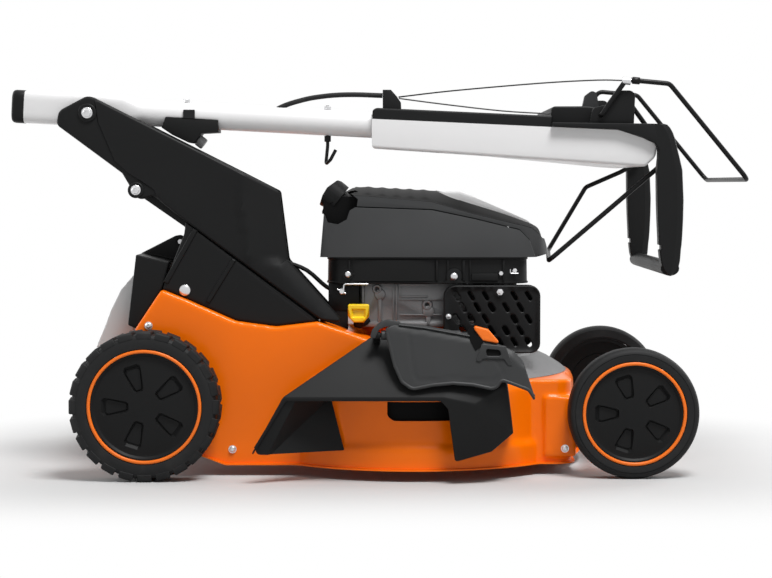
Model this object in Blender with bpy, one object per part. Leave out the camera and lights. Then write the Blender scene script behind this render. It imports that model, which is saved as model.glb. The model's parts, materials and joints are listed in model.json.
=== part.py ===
"""Walk-behind lawn mower with a single-tube handlebar, folded forward over the engine.

Metres, +Z up, +X towards the front wheels, +Y towards the mower's left side.
The origin is on the ground, midway along and across the folded mower, side flap included.
"""

import math

import bmesh
import bpy
from mathutils import Matrix
from mathutils import Vector

for old_object in list(bpy.data.objects):
    bpy.data.objects.remove(old_object, do_unlink=True)

# Fits
SEAT = 0.0003
SLIDE = 0.0010

# Widths of the deck, which the wheels follow
DECK_HALF = 0.215
FRONT_HALF = 0.202
CARRIER_PLATE = 0.005
REAR_CARRIER_Y = DECK_HALF + 0.0025
FRONT_CARRIER_Y = FRONT_HALF + 0.0035
WHEEL_CLEARANCE = 0.0025
REAR_CLEARANCE = 0.0125

# Wheels
REAR_WHEEL_RADIUS = 0.120
REAR_WHEEL_WIDTH = 0.055
REAR_WHEEL_FACE = REAR_CARRIER_Y + CARRIER_PLATE + REAR_CLEARANCE + REAR_WHEEL_WIDTH
REAR_TYRE_DEPTH = 0.029
REAR_AXLE_X = -0.373
LUG_DEPTH = 0.005
LUG_COUNT = 24
FRONT_WHEEL_RADIUS = 0.105
FRONT_WHEEL_WIDTH = 0.045
FRONT_WHEEL_FACE = FRONT_CARRIER_Y + CARRIER_PLATE + WHEEL_CLEARANCE + FRONT_WHEEL_WIDTH
FRONT_TYRE_DEPTH = 0.0215
FRONT_AXLE_X = 0.408
RING_WIDTH = 0.005
RIM_RECESS = 0.004
RIM_WEB = 0.010
RIM_LIP = 0.006
RIM_SEGMENTS = 28
HUB_RADIUS = 0.020
POCKET_DEPTH = 0.006
POCKET_INNER = 0.025
POCKET_MARGIN = 0.017
POCKET_COUNT = 5
AXLE_RADIUS = 0.006
AXLE_END = 0.0135

# Axle carriers, which set the cutting height
REAR_PIVOT_BACK = 0.0687
REAR_PIVOT_DROP = 0.030
FRONT_PIVOT_BACK = 0.046
FRONT_PIVOT_DROP = 0.0375
CARRIER_SHAFT = 0.008
LEVER_LENGTH = 0.240
LEVER_ANGLE = math.radians(75)

# Deck
CRANK_X = 0.055
HOUSING_RADIUS = 0.285
DECK_SEGMENTS = 48
DECK_WALL = 0.003
DECK_RIM_Z = 0.020
DECK_RIM_LIP = 0.006
DECK_TOP = 0.155
DECK_REAR_X = -0.397
FRONT_BOX_X = 0.315
PLATFORM_RADIUS = 0.125
PLATFORM_TOP = 0.236
CHUTE_NEAR_Y = -0.105
CHUTE_FAR_Y = 0.180

# Engine
CRANK_RADIUS = 0.0125
ENGINE_TOP = 0.3087
BLOCK_HALF = 0.140
PORT_REACH = 0.080
MUFFLER_Y = -0.154
BLOWER_TOP = 0.3525
BLOWER_HALF = 0.165
HOOD_HALF = 0.170
HOOD_WALL = 0.003
HOOD_FLANGE = 0.010
FLYWHEEL_RADIUS = 0.092
CAP_RADIUS = 0.027
CAP_HEIGHT = 0.023
CAP_FACE = Vector((-0.0858, -0.130, 0.461))
CAP_AXIS = Vector((-0.775, 0.0, 0.632)).normalized()
DIP_SEAT = Vector((-0.035, -0.158, 0.2487))
DIP_AXIS = Vector((0.0, -0.5, 0.866)).normalized()

# Blade
BLADE_RADIUS = 0.265
BLADE_WIDTH = 0.050
BLADE_THICK = 0.004
BLADE_Z = 0.0455

# Console and handlebar
TUBE_Y = -0.160
TUBE_RADIUS = 0.021
TUBE_WALL = 0.0025
TUBE_SLOPE = -0.0526
TAIL_HEIGHT = 0.051
TAIL_END_X = -0.585
TAIL_FRONT_X = -0.424
SWAGE_END_X = -0.372
TUBE_END_X = 0.110
CAP_END_X = -0.600
FOLD_X = -0.4727
FOLD_Z = 0.5873
FOLD_BOLT = 0.006
STOP_X = -0.395
STOP_Z = 0.4626
STOP_BOLT = 0.005
CHEEK_GAP = 0.048
CHEEK_THICK = 0.016
CHEEK_WALL = 0.004
CHEEK_RIM = 0.006
CONSOLE_HALF = 0.037

# Handle
HANDLE_HALF = 0.190
SHELL_WALL = 0.004
GRIP_INNER = HANDLE_HALF - 0.012
GRIP_OUTER = HANDLE_HALF + 0.012
EAR_OUTER = HANDLE_HALF
POD_HALF = HANDLE_HALF - 0.035
BAIL_RADIUS = 0.004
STOP_PIVOT = (0.358, 0.584)
DRIVE_PIVOT = (0.402, 0.612)
STOP_LEG_Y = HANDLE_HALF + 0.007
DRIVE_LEG_Y = HANDLE_HALF - 0.022
SPEED_PIVOT = (0.348, 0.586)
SPEED_Y = -0.122
SPEED_THICK = 0.012

# Side guard and flap
GUARD_LIP_Y = -0.318
GUARD_WALL = 0.004
FLAP_THICK = 0.004
FLAP_Y = -0.3025
FLAP_LEAN = 0.22
HINGE_Y = -0.292
HINGE_Z = 0.2345
HINGE_PIN = 0.003
FLAP_TIP_Z = 0.130
SIDE_SHIFT = (-FLAP_Y - FLAP_LEAN * (FLAP_TIP_Z - HINGE_Z) - REAR_WHEEL_FACE) / 2

# Rear flap
ROD_X = -0.332
ROD_Z = 0.377
ROD_RADIUS = 0.004
FLAP_NEAR_Y = -0.1125
FLAP_FAR_Y = 0.1875
FLAP_WALL = 0.003


def paint(name, colour, roughness, metallic=0.0):
    """A plain Principled material."""
    material = bpy.data.materials.new(name)
    material.use_nodes = True
    shader = material.node_tree.nodes["Principled BSDF"]
    shader.inputs["Base Color"].default_value = (*colour, 1.0)
    shader.inputs["Roughness"].default_value = roughness
    shader.inputs["Metallic"].default_value = metallic
    return material


ORANGE = paint("orange_paint", (0.90, 0.21, 0.01), 0.35)
BLACK = paint("black_plastic", (0.025, 0.026, 0.027), 0.55)
GREY = paint("dark_grey_plastic", (0.055, 0.057, 0.058), 0.6)
LIGHT = paint("light_grey_plastic", (0.55, 0.56, 0.57), 0.5)
WHITE = paint("white_paint", (0.80, 0.80, 0.81), 0.4)
RUBBER = paint("black_rubber", (0.02, 0.02, 0.02), 0.8)
STEEL = paint("bare_steel", (0.55, 0.55, 0.56), 0.35, 1.0)
ALUMINIUM = paint("cast_aluminium", (0.60, 0.60, 0.61), 0.5, 1.0)
YELLOW = paint("yellow_plastic", (0.85, 0.60, 0.02), 0.45)
BLACK_STEEL = paint("black_steel", (0.02, 0.02, 0.021), 0.4, 0.3)


def finish(name, mesh_builder, material, origin=(0.0, 0.0, 0.0)):
    """Turn a bmesh in world coordinates into an object with its origin where it is wanted."""
    bmesh.ops.recalc_face_normals(mesh_builder, faces=mesh_builder.faces)
    bmesh.ops.translate(mesh_builder, verts=mesh_builder.verts, vec=-Vector(origin))
    mesh = bpy.data.meshes.new(name)
    mesh_builder.to_mesh(mesh)
    mesh_builder.free()
    mesh.materials.append(material)
    mesh.shade_smooth()
    mesh.set_sharp_from_angle(angle=math.radians(35))
    made = bpy.data.objects.new(name, mesh)
    made.location = origin
    bpy.context.collection.objects.link(made)
    return made


def on_axis(axis, a, b, along):
    """A point from its two in-plane coordinates and its place along an extrusion axis."""
    if axis == "X":
        return Vector((along, a, b))
    if axis == "Y":
        return Vector((a, along, b))
    return Vector((a, b, along))


def prism(name, outline, axis, low, high, material=BLACK, origin=(0.0, 0.0, 0.0)):
    """A closed outline pushed along X, Y or Z."""
    builder = bmesh.new()
    lower = [builder.verts.new(on_axis(axis, a, b, low)) for a, b in outline]
    upper = [builder.verts.new(on_axis(axis, a, b, high)) for a, b in outline]
    builder.faces.new(lower)
    builder.faces.new(upper)
    for index in range(len(outline)):
        after = (index + 1) % len(outline)
        builder.faces.new((lower[index], lower[after], upper[after], upper[index]))
    return finish(name, builder, material, origin)


def box(name, low, high, material=BLACK, origin=(0.0, 0.0, 0.0)):
    """A box between two corners."""
    outline = [(low[0], low[1]), (high[0], low[1]), (high[0], high[1]), (low[0], high[1])]
    return prism(name, outline, "Z", low[2], high[2], material, origin)


def hull(name, points, material=BLACK, origin=(0.0, 0.0, 0.0)):
    """The convex solid round a set of points."""
    builder = bmesh.new()
    for point in points:
        builder.verts.new(point)
    result = bmesh.ops.convex_hull(builder, input=builder.verts)
    spare = [item for item in result["geom_interior"] if isinstance(item, bmesh.types.BMVert)]
    bmesh.ops.delete(builder, geom=spare, context="VERTS")
    return finish(name, builder, material, origin)


def lathe(name, profile, centre, axis, segments=32, material=BLACK, origin=(0.0, 0.0, 0.0), start=0.0):
    """A closed profile of (radius, distance along the axis) turned round an axis through centre."""
    direction = Vector(axis).normalized()
    turn = Vector((0.0, 0.0, 1.0)).rotation_difference(direction).to_matrix()
    builder = bmesh.new()
    rings = []
    for radius, along in profile:
        if radius < 1e-7:
            spot = Vector(centre) + direction * along
            rings.append([builder.verts.new(spot)] * segments)
            continue
        ring = []
        for step in range(segments):
            angle = start + 2 * math.pi * step / segments
            local = Vector((radius * math.cos(angle), radius * math.sin(angle), along))
            ring.append(builder.verts.new(Vector(centre) + turn @ local))
        rings.append(ring)
    for index in range(len(rings)):
        one = rings[index]
        two = rings[(index + 1) % len(rings)]
        for step in range(segments):
            after = (step + 1) % segments
            corners = []
            for vert in (one[step], one[after], two[after], two[step]):
                if vert not in corners:
                    corners.append(vert)
            if len(corners) > 2:
                builder.faces.new(corners)
    return finish(name, builder, material, origin)


def rod(name, start, end, radius, segments=16, material=BLACK, origin=(0.0, 0.0, 0.0)):
    """A straight round bar between two points."""
    first = Vector(start)
    span = Vector(end) - first
    profile = [(0.0, 0.0), (radius, 0.0), (radius, span.length), (0.0, span.length)]
    return lathe(name, profile, first, span, segments, material, origin)


def circle(radius, count, phase=0.0):
    """Points round a circle."""
    angles = [phase + 2 * math.pi * step / count for step in range(count)]
    return [(radius * math.cos(angle), radius * math.sin(angle)) for angle in angles]


def arc(centre, radius, start, end, steps):
    """Points along an arc, both ends in, with angles in degrees."""
    points = []
    for step in range(steps + 1):
        angle = math.radians(start + (end - start) * step / steps)
        points.append((centre[0] + radius * math.cos(angle), centre[1] + radius * math.sin(angle)))
    return points


def rounded(corners, steps=3):
    """An outline whose corners (x, y, radius) are rounded where the radius isn't zero."""
    outline = []
    count = len(corners)
    for index, corner in enumerate(corners):
        here = Vector(corner[:2])
        radius = corner[2] if len(corner) > 2 else 0.0
        if radius <= 0.0:
            outline.append((here.x, here.y))
            continue
        before = (Vector(corners[index - 1][:2]) - here).normalized()
        after = (Vector(corners[(index + 1) % count][:2]) - here).normalized()
        half = math.acos(max(-1.0, min(1.0, before.dot(after)))) / 2
        reach = radius / math.tan(half)
        middle = here + (before + after).normalized() * (radius / math.sin(half))
        first = here + before * reach - middle
        last = here + after * reach - middle
        swing = first.angle_signed(last)
        for step in range(steps + 1):
            share = swing * step / steps
            turned = Vector((first.x * math.cos(-share) - first.y * math.sin(-share),
                             first.x * math.sin(-share) + first.y * math.cos(-share)))
            outline.append((middle.x + turned.x, middle.y + turned.y))
    return outline


def offset(outline, distance):
    """An outline moved outwards by a distance, or inwards by a negative one."""
    area = 0.0
    count = len(outline)
    for index in range(count):
        a = outline[index]
        b = outline[(index + 1) % count]
        area += a[0] * b[1] - b[0] * a[1]
    side = 1.0 if area > 0 else -1.0
    moved = []
    for index in range(count):
        here = Vector(outline[index])
        before = (here - Vector(outline[index - 1])).normalized()
        after = (Vector(outline[(index + 1) % count]) - here).normalized()
        normal_one = Vector((before.y, -before.x)) * side
        normal_two = Vector((after.y, -after.x)) * side
        blend = (normal_one + normal_two).normalized()
        reach = distance / max(0.3, blend.dot(normal_one))
        moved.append((here.x + blend.x * reach, here.y + blend.y * reach))
    return moved


def inset(corners, distance):
    """Corners (x, y, radius) moved inwards, with their radii made smaller to match."""
    moved = offset([corner[:2] for corner in corners], -distance)
    return [(spot[0], spot[1], max(0.0, corner[2] - distance)) for spot, corner in zip(moved, corners)]


def sweep(name, path, section, material=BLACK, origin=(0.0, 0.0, 0.0)):
    """A section carried along a path of points without twist, closed at both ends."""
    points = [Vector(point) for point in path]
    tangents = []
    for index in range(len(points)):
        before = points[max(0, index - 1)]
        after = points[min(len(points) - 1, index + 1)]
        tangents.append((after - before).normalized())
    normal = tangents[0].orthogonal().normalized()
    if abs(tangents[0].z) < 0.9:
        normal = (Vector((0.0, 0.0, 1.0)) - tangents[0] * tangents[0].z).normalized()
    builder = bmesh.new()
    rings = []
    for index, point in enumerate(points):
        if index > 0:
            normal = tangents[index - 1].rotation_difference(tangents[index]) @ normal
        side = tangents[index].cross(normal)
        stretch = 1.0
        if 0 < index < len(points) - 1:
            one = (points[index] - points[index - 1]).normalized()
            two = (points[index + 1] - points[index]).normalized()
            stretch = 1.0 / max(0.5, math.cos(one.angle(two) / 2))
        bend = Vector((0.0, 0.0, 0.0))
        if stretch > 1.0:
            bend = (two - one).normalized()
        ring = []
        for across, up in section:
            shift = side * across + normal * up
            shift += bend * (shift.dot(bend) * (stretch - 1.0))
            ring.append(builder.verts.new(point + shift))
        rings.append(ring)
    count = len(section)
    for index in range(len(rings) - 1):
        for step in range(count):
            after = (step + 1) % count
            builder.faces.new((rings[index][step], rings[index][after], rings[index + 1][after], rings[index + 1][step]))
    builder.faces.new(rings[0])
    builder.faces.new(rings[-1])
    return finish(name, builder, material, origin)


def bent(points, radii, steps=3):
    """A path whose inner corners are turned, each with its own bend radius."""
    path = [Vector(points[0])]
    for index in range(1, len(points) - 1):
        here = Vector(points[index])
        before = Vector(points[index - 1]) - here
        after = Vector(points[index + 1]) - here
        half = before.angle(after) / 2
        reach = min(radii[index - 1] / math.tan(half), before.length * 0.48, after.length * 0.48)
        true_radius = reach * math.tan(half)
        before.normalize()
        after.normalize()
        middle = here + (before + after).normalized() * (true_radius / math.sin(half))
        first = here + before * reach - middle
        last = here + after * reach - middle
        swing = first.rotation_difference(last)
        for step in range(steps + 1):
            turned = first.copy()
            turned.rotate(Matrix.Rotation(swing.angle * step / steps, 3, swing.axis))
            path.append(middle + turned)
    path.append(Vector(points[-1]))
    return path


def smooth_path(points, steps):
    """A Catmull-Rom curve through the points."""
    knots = [Vector(point) for point in points]
    knots = [knots[0] * 2 - knots[1]] + knots + [knots[-1] * 2 - knots[-2]]
    path = []
    for index in range(1, len(knots) - 2):
        a, b, c, d = knots[index - 1:index + 3]
        for step in range(steps):
            t = step / steps
            path.append(0.5 * (2 * b + (c - a) * t + (2 * a - 5 * b + 4 * c - d) * t ** 2
                               + (3 * b - a - 3 * c + d) * t ** 3))
    path.append(knots[-2])
    return path


def combine(target, others, operation):
    """Cut others from target, join them to it or keep what they share, and use the others up."""
    group = bpy.data.collections.new("operands")
    for other in others:
        group.objects.link(other)
    modifier = target.modifiers.new(operation, "BOOLEAN")
    modifier.operation = operation
    modifier.solver = "EXACT"
    modifier.operand_type = "COLLECTION"
    modifier.collection = group
    bpy.context.view_layer.update()
    graph = bpy.context.evaluated_depsgraph_get()
    result = bpy.data.meshes.new_from_object(target.evaluated_get(graph))
    target.modifiers.clear()
    target.data = result
    for other in others:
        bpy.data.objects.remove(other, do_unlink=True)
    bpy.data.collections.remove(group)
    target.data.materials.clear()
    return target


def cut(target, *others):
    material = target.data.materials[0]
    combine(target, others, "DIFFERENCE")
    target.data.materials.append(material)
    return target


def join(target, *others):
    material = target.data.materials[0]
    combine(target, others, "UNION")
    target.data.materials.append(material)
    return target


def keep(target, *others):
    material = target.data.materials[0]
    combine(target, others, "INTERSECT")
    target.data.materials.append(material)
    return target


def body(name, place, parent=None):
    """An empty on a joint's axis, which its moving pieces hang from."""
    empty = bpy.data.objects.new(name, None)
    bpy.context.collection.objects.link(empty)
    empty["place"] = tuple(place)
    empty.location = place
    if parent is not None:
        empty.parent = parent
        empty.location = Vector(place) - Vector(parent["place"])
    return empty


whole = body("mower", (0.0, 0.0, 0.0))
whole.location.y = SIDE_SHIFT


def hang(empty, *pieces):
    """Parent pieces to an empty and keep them where they are."""
    for piece in pieces:
        piece.location = piece.location - Vector(empty["place"])
        piece.parent = empty


def tube_z(x):
    """Height of the handle tube's centre line."""
    return FOLD_Z + 0.0056 + TUBE_SLOPE * (x - FOLD_X)


# Wheels


def wheel(tag, side, axle_x, radius, width, face, tyre_depth, lugs):
    """One wheel: tyre, rim and coloured ring, on the side -1 (near) or +1 (far)."""
    centre = Vector((axle_x, side * face, radius))
    inward = (0.0, -side, 0.0)
    rim_radius = radius - tyre_depth
    if lugs:
        outline = []
        pitch = 2 * math.pi / LUG_COUNT
        for index in range(LUG_COUNT):
            middle = index * pitch - math.pi / 2
            for share, depth in ((-0.34, 0.0), (0.34, 0.0), (0.40, LUG_DEPTH), (0.60, LUG_DEPTH)):
                angle = middle + share * pitch
                outline.append((axle_x + (radius - depth) * math.cos(angle), radius + (radius - depth) * math.sin(angle)))
        ends = sorted((side * face, side * (face - width)))
        tyre = prism(tag + "_tyre", outline, "Y", ends[0], ends[1], RUBBER, centre)
        bore = [(rim_radius, -0.01), (rim_radius, width + 0.01), (0.0, width + 0.01), (0.0, -0.01)]
        cut(tyre, lathe("bore", bore, centre, inward, RIM_SEGMENTS))
    else:
        shoulder = 0.007
        profile = [(rim_radius, 0.001), (radius - shoulder, 0.0), (radius - 0.001, shoulder), (radius, width * 0.3),
                   (radius, width * 0.7), (radius - 0.001, width - shoulder), (radius - shoulder, width),
                   (rim_radius, width - 0.001)]
        tyre = lathe(tag + "_tyre", profile, centre, inward, RIM_SEGMENTS, RUBBER, centre)
    outer = rim_radius - SEAT
    ring_outer = outer
    ring_inner = ring_outer - RING_WIDTH
    groove = RIM_RECESS + 0.003
    profile = [(0.0, RIM_RECESS), (ring_inner - SEAT, RIM_RECESS), (ring_inner - SEAT, groove), (outer, groove),
               (outer, width - RIM_RECESS), (outer - RIM_LIP, width - RIM_RECESS), (outer - RIM_LIP, RIM_RECESS + RIM_WEB),
               (HUB_RADIUS, RIM_RECESS + RIM_WEB), (HUB_RADIUS, width - 0.001), (AXLE_RADIUS + SEAT, width - 0.001),
               (AXLE_RADIUS + SEAT, AXLE_END - SEAT), (0.0, AXLE_END - SEAT)]
    rim = lathe(tag + "_rim", profile, centre, inward, RIM_SEGMENTS, BLACK, centre)
    cutters = []
    pocket_outer = ring_inner - POCKET_MARGIN
    for index in range(POCKET_COUNT):
        angle = math.pi + 2 * math.pi * index / POCKET_COUNT
        outline = []
        for reach, across in ((POCKET_INNER, -0.005), (POCKET_INNER + 0.004, -0.0075), (pocket_outer - 0.009, -0.014),
                              (pocket_outer - 0.003, -0.014), (pocket_outer, -0.011), (pocket_outer, 0.011),
                              (pocket_outer - 0.003, 0.014), (pocket_outer - 0.009, 0.014), (POCKET_INNER + 0.004, 0.0075),
                              (POCKET_INNER, 0.005)):
            outline.append((axle_x + reach * math.cos(angle) - across * math.sin(angle),
                            radius + reach * math.sin(angle) + across * math.cos(angle)))
        ends = sorted((side * (face + 0.01), side * (face - RIM_RECESS - POCKET_DEPTH)))
        cutters.append(prism("pocket", outline, "Y", ends[0], ends[1]))
    cut(rim, *cutters)
    profile = [(ring_inner, 0.002), (ring_outer, 0.002), (ring_outer, groove - SEAT), (ring_inner, groove - SEAT)]
    ring = lathe(tag + "_ring", profile, centre, inward, RIM_SEGMENTS, ORANGE, centre)
    return tyre, rim, ring


def carrier(name, axle_x, axle_z, pivot_x, pivot_z, plate_y, axle_tip):
    """A cross shaft with an arm and a stub axle at each end."""
    centre = (pivot_x, 0.0, pivot_z)
    outside = plate_y + CARRIER_PLATE
    made = rod(name, (pivot_x, -outside, pivot_z), (pivot_x, outside, pivot_z), CARRIER_SHAFT, 16, STEEL, centre)
    run = Vector((axle_x - pivot_x, axle_z - pivot_z))
    heading = math.degrees(math.atan2(run.y, run.x))
    outline = arc((axle_x, axle_z), 0.012, heading - 90, heading + 90, 6)
    outline += arc((pivot_x, pivot_z), 0.012, heading + 90, heading + 270, 6)
    pieces = []
    for side in (-1, 1):
        ends = sorted((side * plate_y, side * outside))
        pieces.append(prism("arm", outline, "Y", ends[0], ends[1]))
        pieces.append(rod("stub", (axle_x, side * (plate_y + 0.001), axle_z), (axle_x, side * axle_tip, axle_z), AXLE_RADIUS, 16))
    return join(made, *pieces)


rear_pivot_x = REAR_AXLE_X + REAR_PIVOT_BACK
rear_pivot_z = REAR_WHEEL_RADIUS - REAR_PIVOT_DROP
front_pivot_x = FRONT_AXLE_X - FRONT_PIVOT_BACK
front_pivot_z = FRONT_WHEEL_RADIUS - FRONT_PIVOT_DROP

rear_body = body("rear_axle_body", (rear_pivot_x, 0.0, rear_pivot_z))
front_body = body("front_axle_body", (front_pivot_x, 0.0, front_pivot_z))

rear_carrier = carrier("rear_carrier", REAR_AXLE_X, REAR_WHEEL_RADIUS, rear_pivot_x, rear_pivot_z, REAR_CARRIER_Y,
                       REAR_WHEEL_FACE - AXLE_END)
front_carrier = carrier("front_carrier", FRONT_AXLE_X, FRONT_WHEEL_RADIUS, front_pivot_x, front_pivot_z,
                        FRONT_CARRIER_Y, FRONT_WHEEL_FACE - AXLE_END)
along = Vector((math.cos(LEVER_ANGLE), math.sin(LEVER_ANGLE)))
across = Vector((-along.y, along.x))
root = Vector((rear_pivot_x, rear_pivot_z))
lever_outline = []
for reach, half in ((0.0, -0.009), (LEVER_LENGTH, -0.008), (LEVER_LENGTH, 0.008), (0.0, 0.009)):
    spot = root + along * reach + across * half
    lever_outline.append((spot.x, spot.y))
lever = prism("lever", lever_outline, "Y", REAR_CARRIER_Y + 0.001, REAR_CARRIER_Y + CARRIER_PLATE + 0.001)
knob_start = root + along * (LEVER_LENGTH - 0.045)
knob_end = root + along * LEVER_LENGTH
knob = rod("knob", (knob_start.x, REAR_CARRIER_Y + 0.016, knob_start.y), (knob_end.x, REAR_CARRIER_Y + 0.016, knob_end.y),
           0.013, 12)
join(rear_carrier, lever, knob)
hang(rear_body, rear_carrier)
hang(front_body, front_carrier)

for tag, side in (("near", -1), ("far", 1)):
    empty = body("rear_" + tag + "_wheel_body", (REAR_AXLE_X, side * REAR_WHEEL_FACE, REAR_WHEEL_RADIUS), rear_body)
    hang(empty, *wheel("rear_" + tag, side, REAR_AXLE_X, REAR_WHEEL_RADIUS, REAR_WHEEL_WIDTH, REAR_WHEEL_FACE,
                       REAR_TYRE_DEPTH, True))
    empty = body("front_" + tag + "_wheel_body", (FRONT_AXLE_X, side * FRONT_WHEEL_FACE, FRONT_WHEEL_RADIUS), front_body)
    hang(empty, *wheel("front_" + tag, side, FRONT_AXLE_X, FRONT_WHEEL_RADIUS, FRONT_WHEEL_WIDTH, FRONT_WHEEL_FACE,
                       FRONT_TYRE_DEPTH, False))

# Deck

deck_top_line = [(DECK_REAR_X, 0.237), (-0.3536, 0.3018), (-0.3134, 0.2857), (-0.233, 0.2503), (-0.1686, 0.2414),
                 (-0.1002, 0.2495), (-0.0141, 0.2197), (0.030, 0.165)]
rear_outline = [(DECK_REAR_X, 0.075)] + deck_top_line + [(0.030, DECK_RIM_Z), (-0.250, DECK_RIM_Z)]
rear_inner = offset(rear_outline, -DECK_WALL)
rear_inner[0] = (rear_inner[0][0], -0.02)
rear_inner[-2] = (rear_inner[-2][0], -0.02)
rear_inner = rear_inner[:-1]


def front_plan(grow, corner):
    """Plan of the squared front part of the deck."""
    half = FRONT_HALF + grow
    nose = FRONT_BOX_X + grow
    return rounded([(CRANK_X, -half, 0), (nose, -half, corner + grow), (nose, half, corner + grow), (CRANK_X, half, 0)], 4)


def drum(radius, low, high, segments=DECK_SEGMENTS):
    return lathe("drum", [(0.0, low), (radius, low), (radius, high), (0.0, high)], (CRANK_X, 0.0, 0.0), (0, 0, 1), segments)


def housing_solid(grow, low, high):
    """The blade housing's outer form, larger by grow."""
    return drum(HOUSING_RADIUS + grow, low, high)


deck = prism("deck_shell", rear_outline, "Y", -DECK_HALF, DECK_HALF, ORANGE)
shoulder_profile = [(0.0, DECK_RIM_Z), (HOUSING_RADIUS, DECK_RIM_Z), (HOUSING_RADIUS, DECK_TOP - 0.012),
                    (HOUSING_RADIUS - 0.004, DECK_TOP - 0.003), (HOUSING_RADIUS - 0.012, DECK_TOP), (0.0, DECK_TOP)]
join(deck,
     lathe("drum", shoulder_profile, (CRANK_X, 0.0, 0.0), (0, 0, 1), DECK_SEGMENTS),
     prism("front", front_plan(0.0, 0.030), "Z", DECK_RIM_Z, DECK_TOP),
     drum(PLATFORM_RADIUS, DECK_TOP - 0.01, PLATFORM_TOP, 36),
     drum(HOUSING_RADIUS + DECK_RIM_LIP, DECK_RIM_Z, DECK_RIM_Z + DECK_WALL),
     prism("lip", front_plan(DECK_RIM_LIP, 0.030), "Z", DECK_RIM_Z, DECK_RIM_Z + DECK_WALL),
     box("lip", (-0.250, -DECK_HALF - DECK_RIM_LIP, DECK_RIM_Z), (0.03, DECK_HALF + DECK_RIM_LIP, DECK_RIM_Z + DECK_WALL)))
bracket_outline = rounded([(FRONT_BOX_X - 0.02, 0.040, 0), (front_pivot_x - 0.002, 0.050, 0.004),
                           (front_pivot_x + 0.014, front_pivot_z - 0.008, 0.008),
                           (front_pivot_x + 0.014, front_pivot_z + 0.014, 0.008),
                           (front_pivot_x - 0.010, front_pivot_z + 0.018, 0.008), (FRONT_BOX_X - 0.02, 0.115, 0)], 2)
lug_outer = FRONT_CARRIER_Y - SLIDE
join(deck, prism("lug", bracket_outline, "Y", -lug_outer, -lug_outer + 0.008),
     prism("lug", bracket_outline, "Y", lug_outer - 0.008, lug_outer))
cut(deck,
    prism("inside", rear_inner, "Y", -DECK_HALF + DECK_WALL, DECK_HALF - DECK_WALL),
    drum(HOUSING_RADIUS - DECK_WALL, -0.02, DECK_TOP - DECK_WALL),
    prism("inside", front_plan(-DECK_WALL, 0.030), "Z", -0.02, DECK_TOP - DECK_WALL),
    drum(PLATFORM_RADIUS - DECK_WALL, 0.1, PLATFORM_TOP - DECK_WALL, 36),
    drum(CRANK_RADIUS + 0.006, 0.2, 0.26, 24),
    box("chute", (DECK_REAR_X - 0.02, CHUTE_NEAR_Y, 0.100), (DECK_REAR_X + 0.030, CHUTE_FAR_Y, 0.262)),
    rod("bore", (rear_pivot_x, -0.3, rear_pivot_z), (rear_pivot_x, 0.3, rear_pivot_z), CARRIER_SHAFT + SEAT, 16),
    rod("bore", (front_pivot_x, -0.3, front_pivot_z), (front_pivot_x, 0.3, front_pivot_z), CARRIER_SHAFT + SEAT, 16))
slot_outline = rounded([(0.012, 0.124, 0), (0.012, 0.104, 0.008), (0.022, 0.0965, 0.008), (0.110, 0.0965, 0), (0.110, 0.124, 0)], 2)
cut(deck, prism("slot", slot_outline, "Y", -0.32, -0.24))

# Aluminium ring on the front of the deck

ring_profile = [(0.165, 0.1845), (0.181, 0.1905), (0.205, 0.1880), (0.235, 0.1765), (0.255, 0.1640),
                (0.266, DECK_TOP + SEAT), (0.261, DECK_TOP + SEAT), (0.251, 0.1600), (0.233, 0.1735),
                (0.204, 0.1850), (0.181, 0.1875), (0.168, 0.1820)]
deck_ring = lathe("deck_ring", ring_profile, (CRANK_X, 0.0, 0.0), (0, 0, 1), 48, ALUMINIUM)
keep(deck_ring, box("front", (0.105, -0.196, 0.1), (0.4, 0.196, 0.3)))

# Side guard


def guard_points(shrink):
    """Corners of the guard's outer form, or of its inside when shrink is the wall."""
    lip = GUARD_LIP_Y + shrink
    inner = -0.190
    low = 0.030 if shrink else 0.040
    slant_lip = shrink * 5.3
    slant = shrink * 2.9
    points = []
    for y, x, z in ((lip, -0.153, 0.138), (lip, 0.100, 0.138), (lip, 0.150, 0.128)):
        points.append((x + (slant_lip if x < 0 else -shrink), y, z - shrink))
    points += [(-0.203 + slant_lip, lip, low + 0.008), (0.123 - shrink, lip, low - 0.002), (0.176 - shrink, lip + 0.008, low + 0.012)]
    points += [(0.211 - shrink, lip + 0.020, 0.080), (0.201 - shrink, lip + 0.020, 0.158 - shrink)]
    points += [(-0.014 + slant, -0.262, 0.2290 - shrink), (0.150 - shrink, -0.262, 0.2290 - shrink)]
    points += [(0.012 + slant, inner, 0.2290 - shrink), (0.175 - shrink, inner, 0.2290 - shrink)]
    points += [(0.216 - shrink, inner, 0.080), (0.208 - shrink, inner, 0.158 - shrink)]
    points += [(0.120 + slant, inner, low + 0.008), (0.176 - shrink, inner, low + 0.012)]
    return points


guard = hull("side_guard", guard_points(0.0), GREY)
arch = rounded([(-0.147, 0.1335, 0.004), (0.096, 0.1335, 0.010), (0.108, 0.120, 0.008), (0.122, 0.020, 0), (-0.230, 0.020, 0),
                (-0.199, 0.048, 0)], 3)
cut(guard, hull("inside", guard_points(GUARD_WALL)),
    prism("arch", arch, "Y", GUARD_LIP_Y - 0.01, GUARD_LIP_Y + GUARD_WALL + 0.0006),
    housing_solid(SEAT, -0.02, DECK_TOP + SEAT),
    drum(HOUSING_RADIUS + DECK_RIM_LIP + SEAT, -0.02, DECK_RIM_Z + DECK_WALL + SEAT),
    box("side", (-0.5, -DECK_HALF - SEAT, -0.02), (0.5, 0.0, 0.5)))
lug_outline = [(HINGE_Y - 0.0056, HINGE_Z), (HINGE_Y - 0.0038, HINGE_Z + 0.0045), (HINGE_Y + 0.001, HINGE_Z + 0.0056),
               (-0.256, 0.2325), (-0.256, 0.2270), (-0.264, 0.2190), (HINGE_Y - 0.0040, HINGE_Z - 0.0045)]
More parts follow.
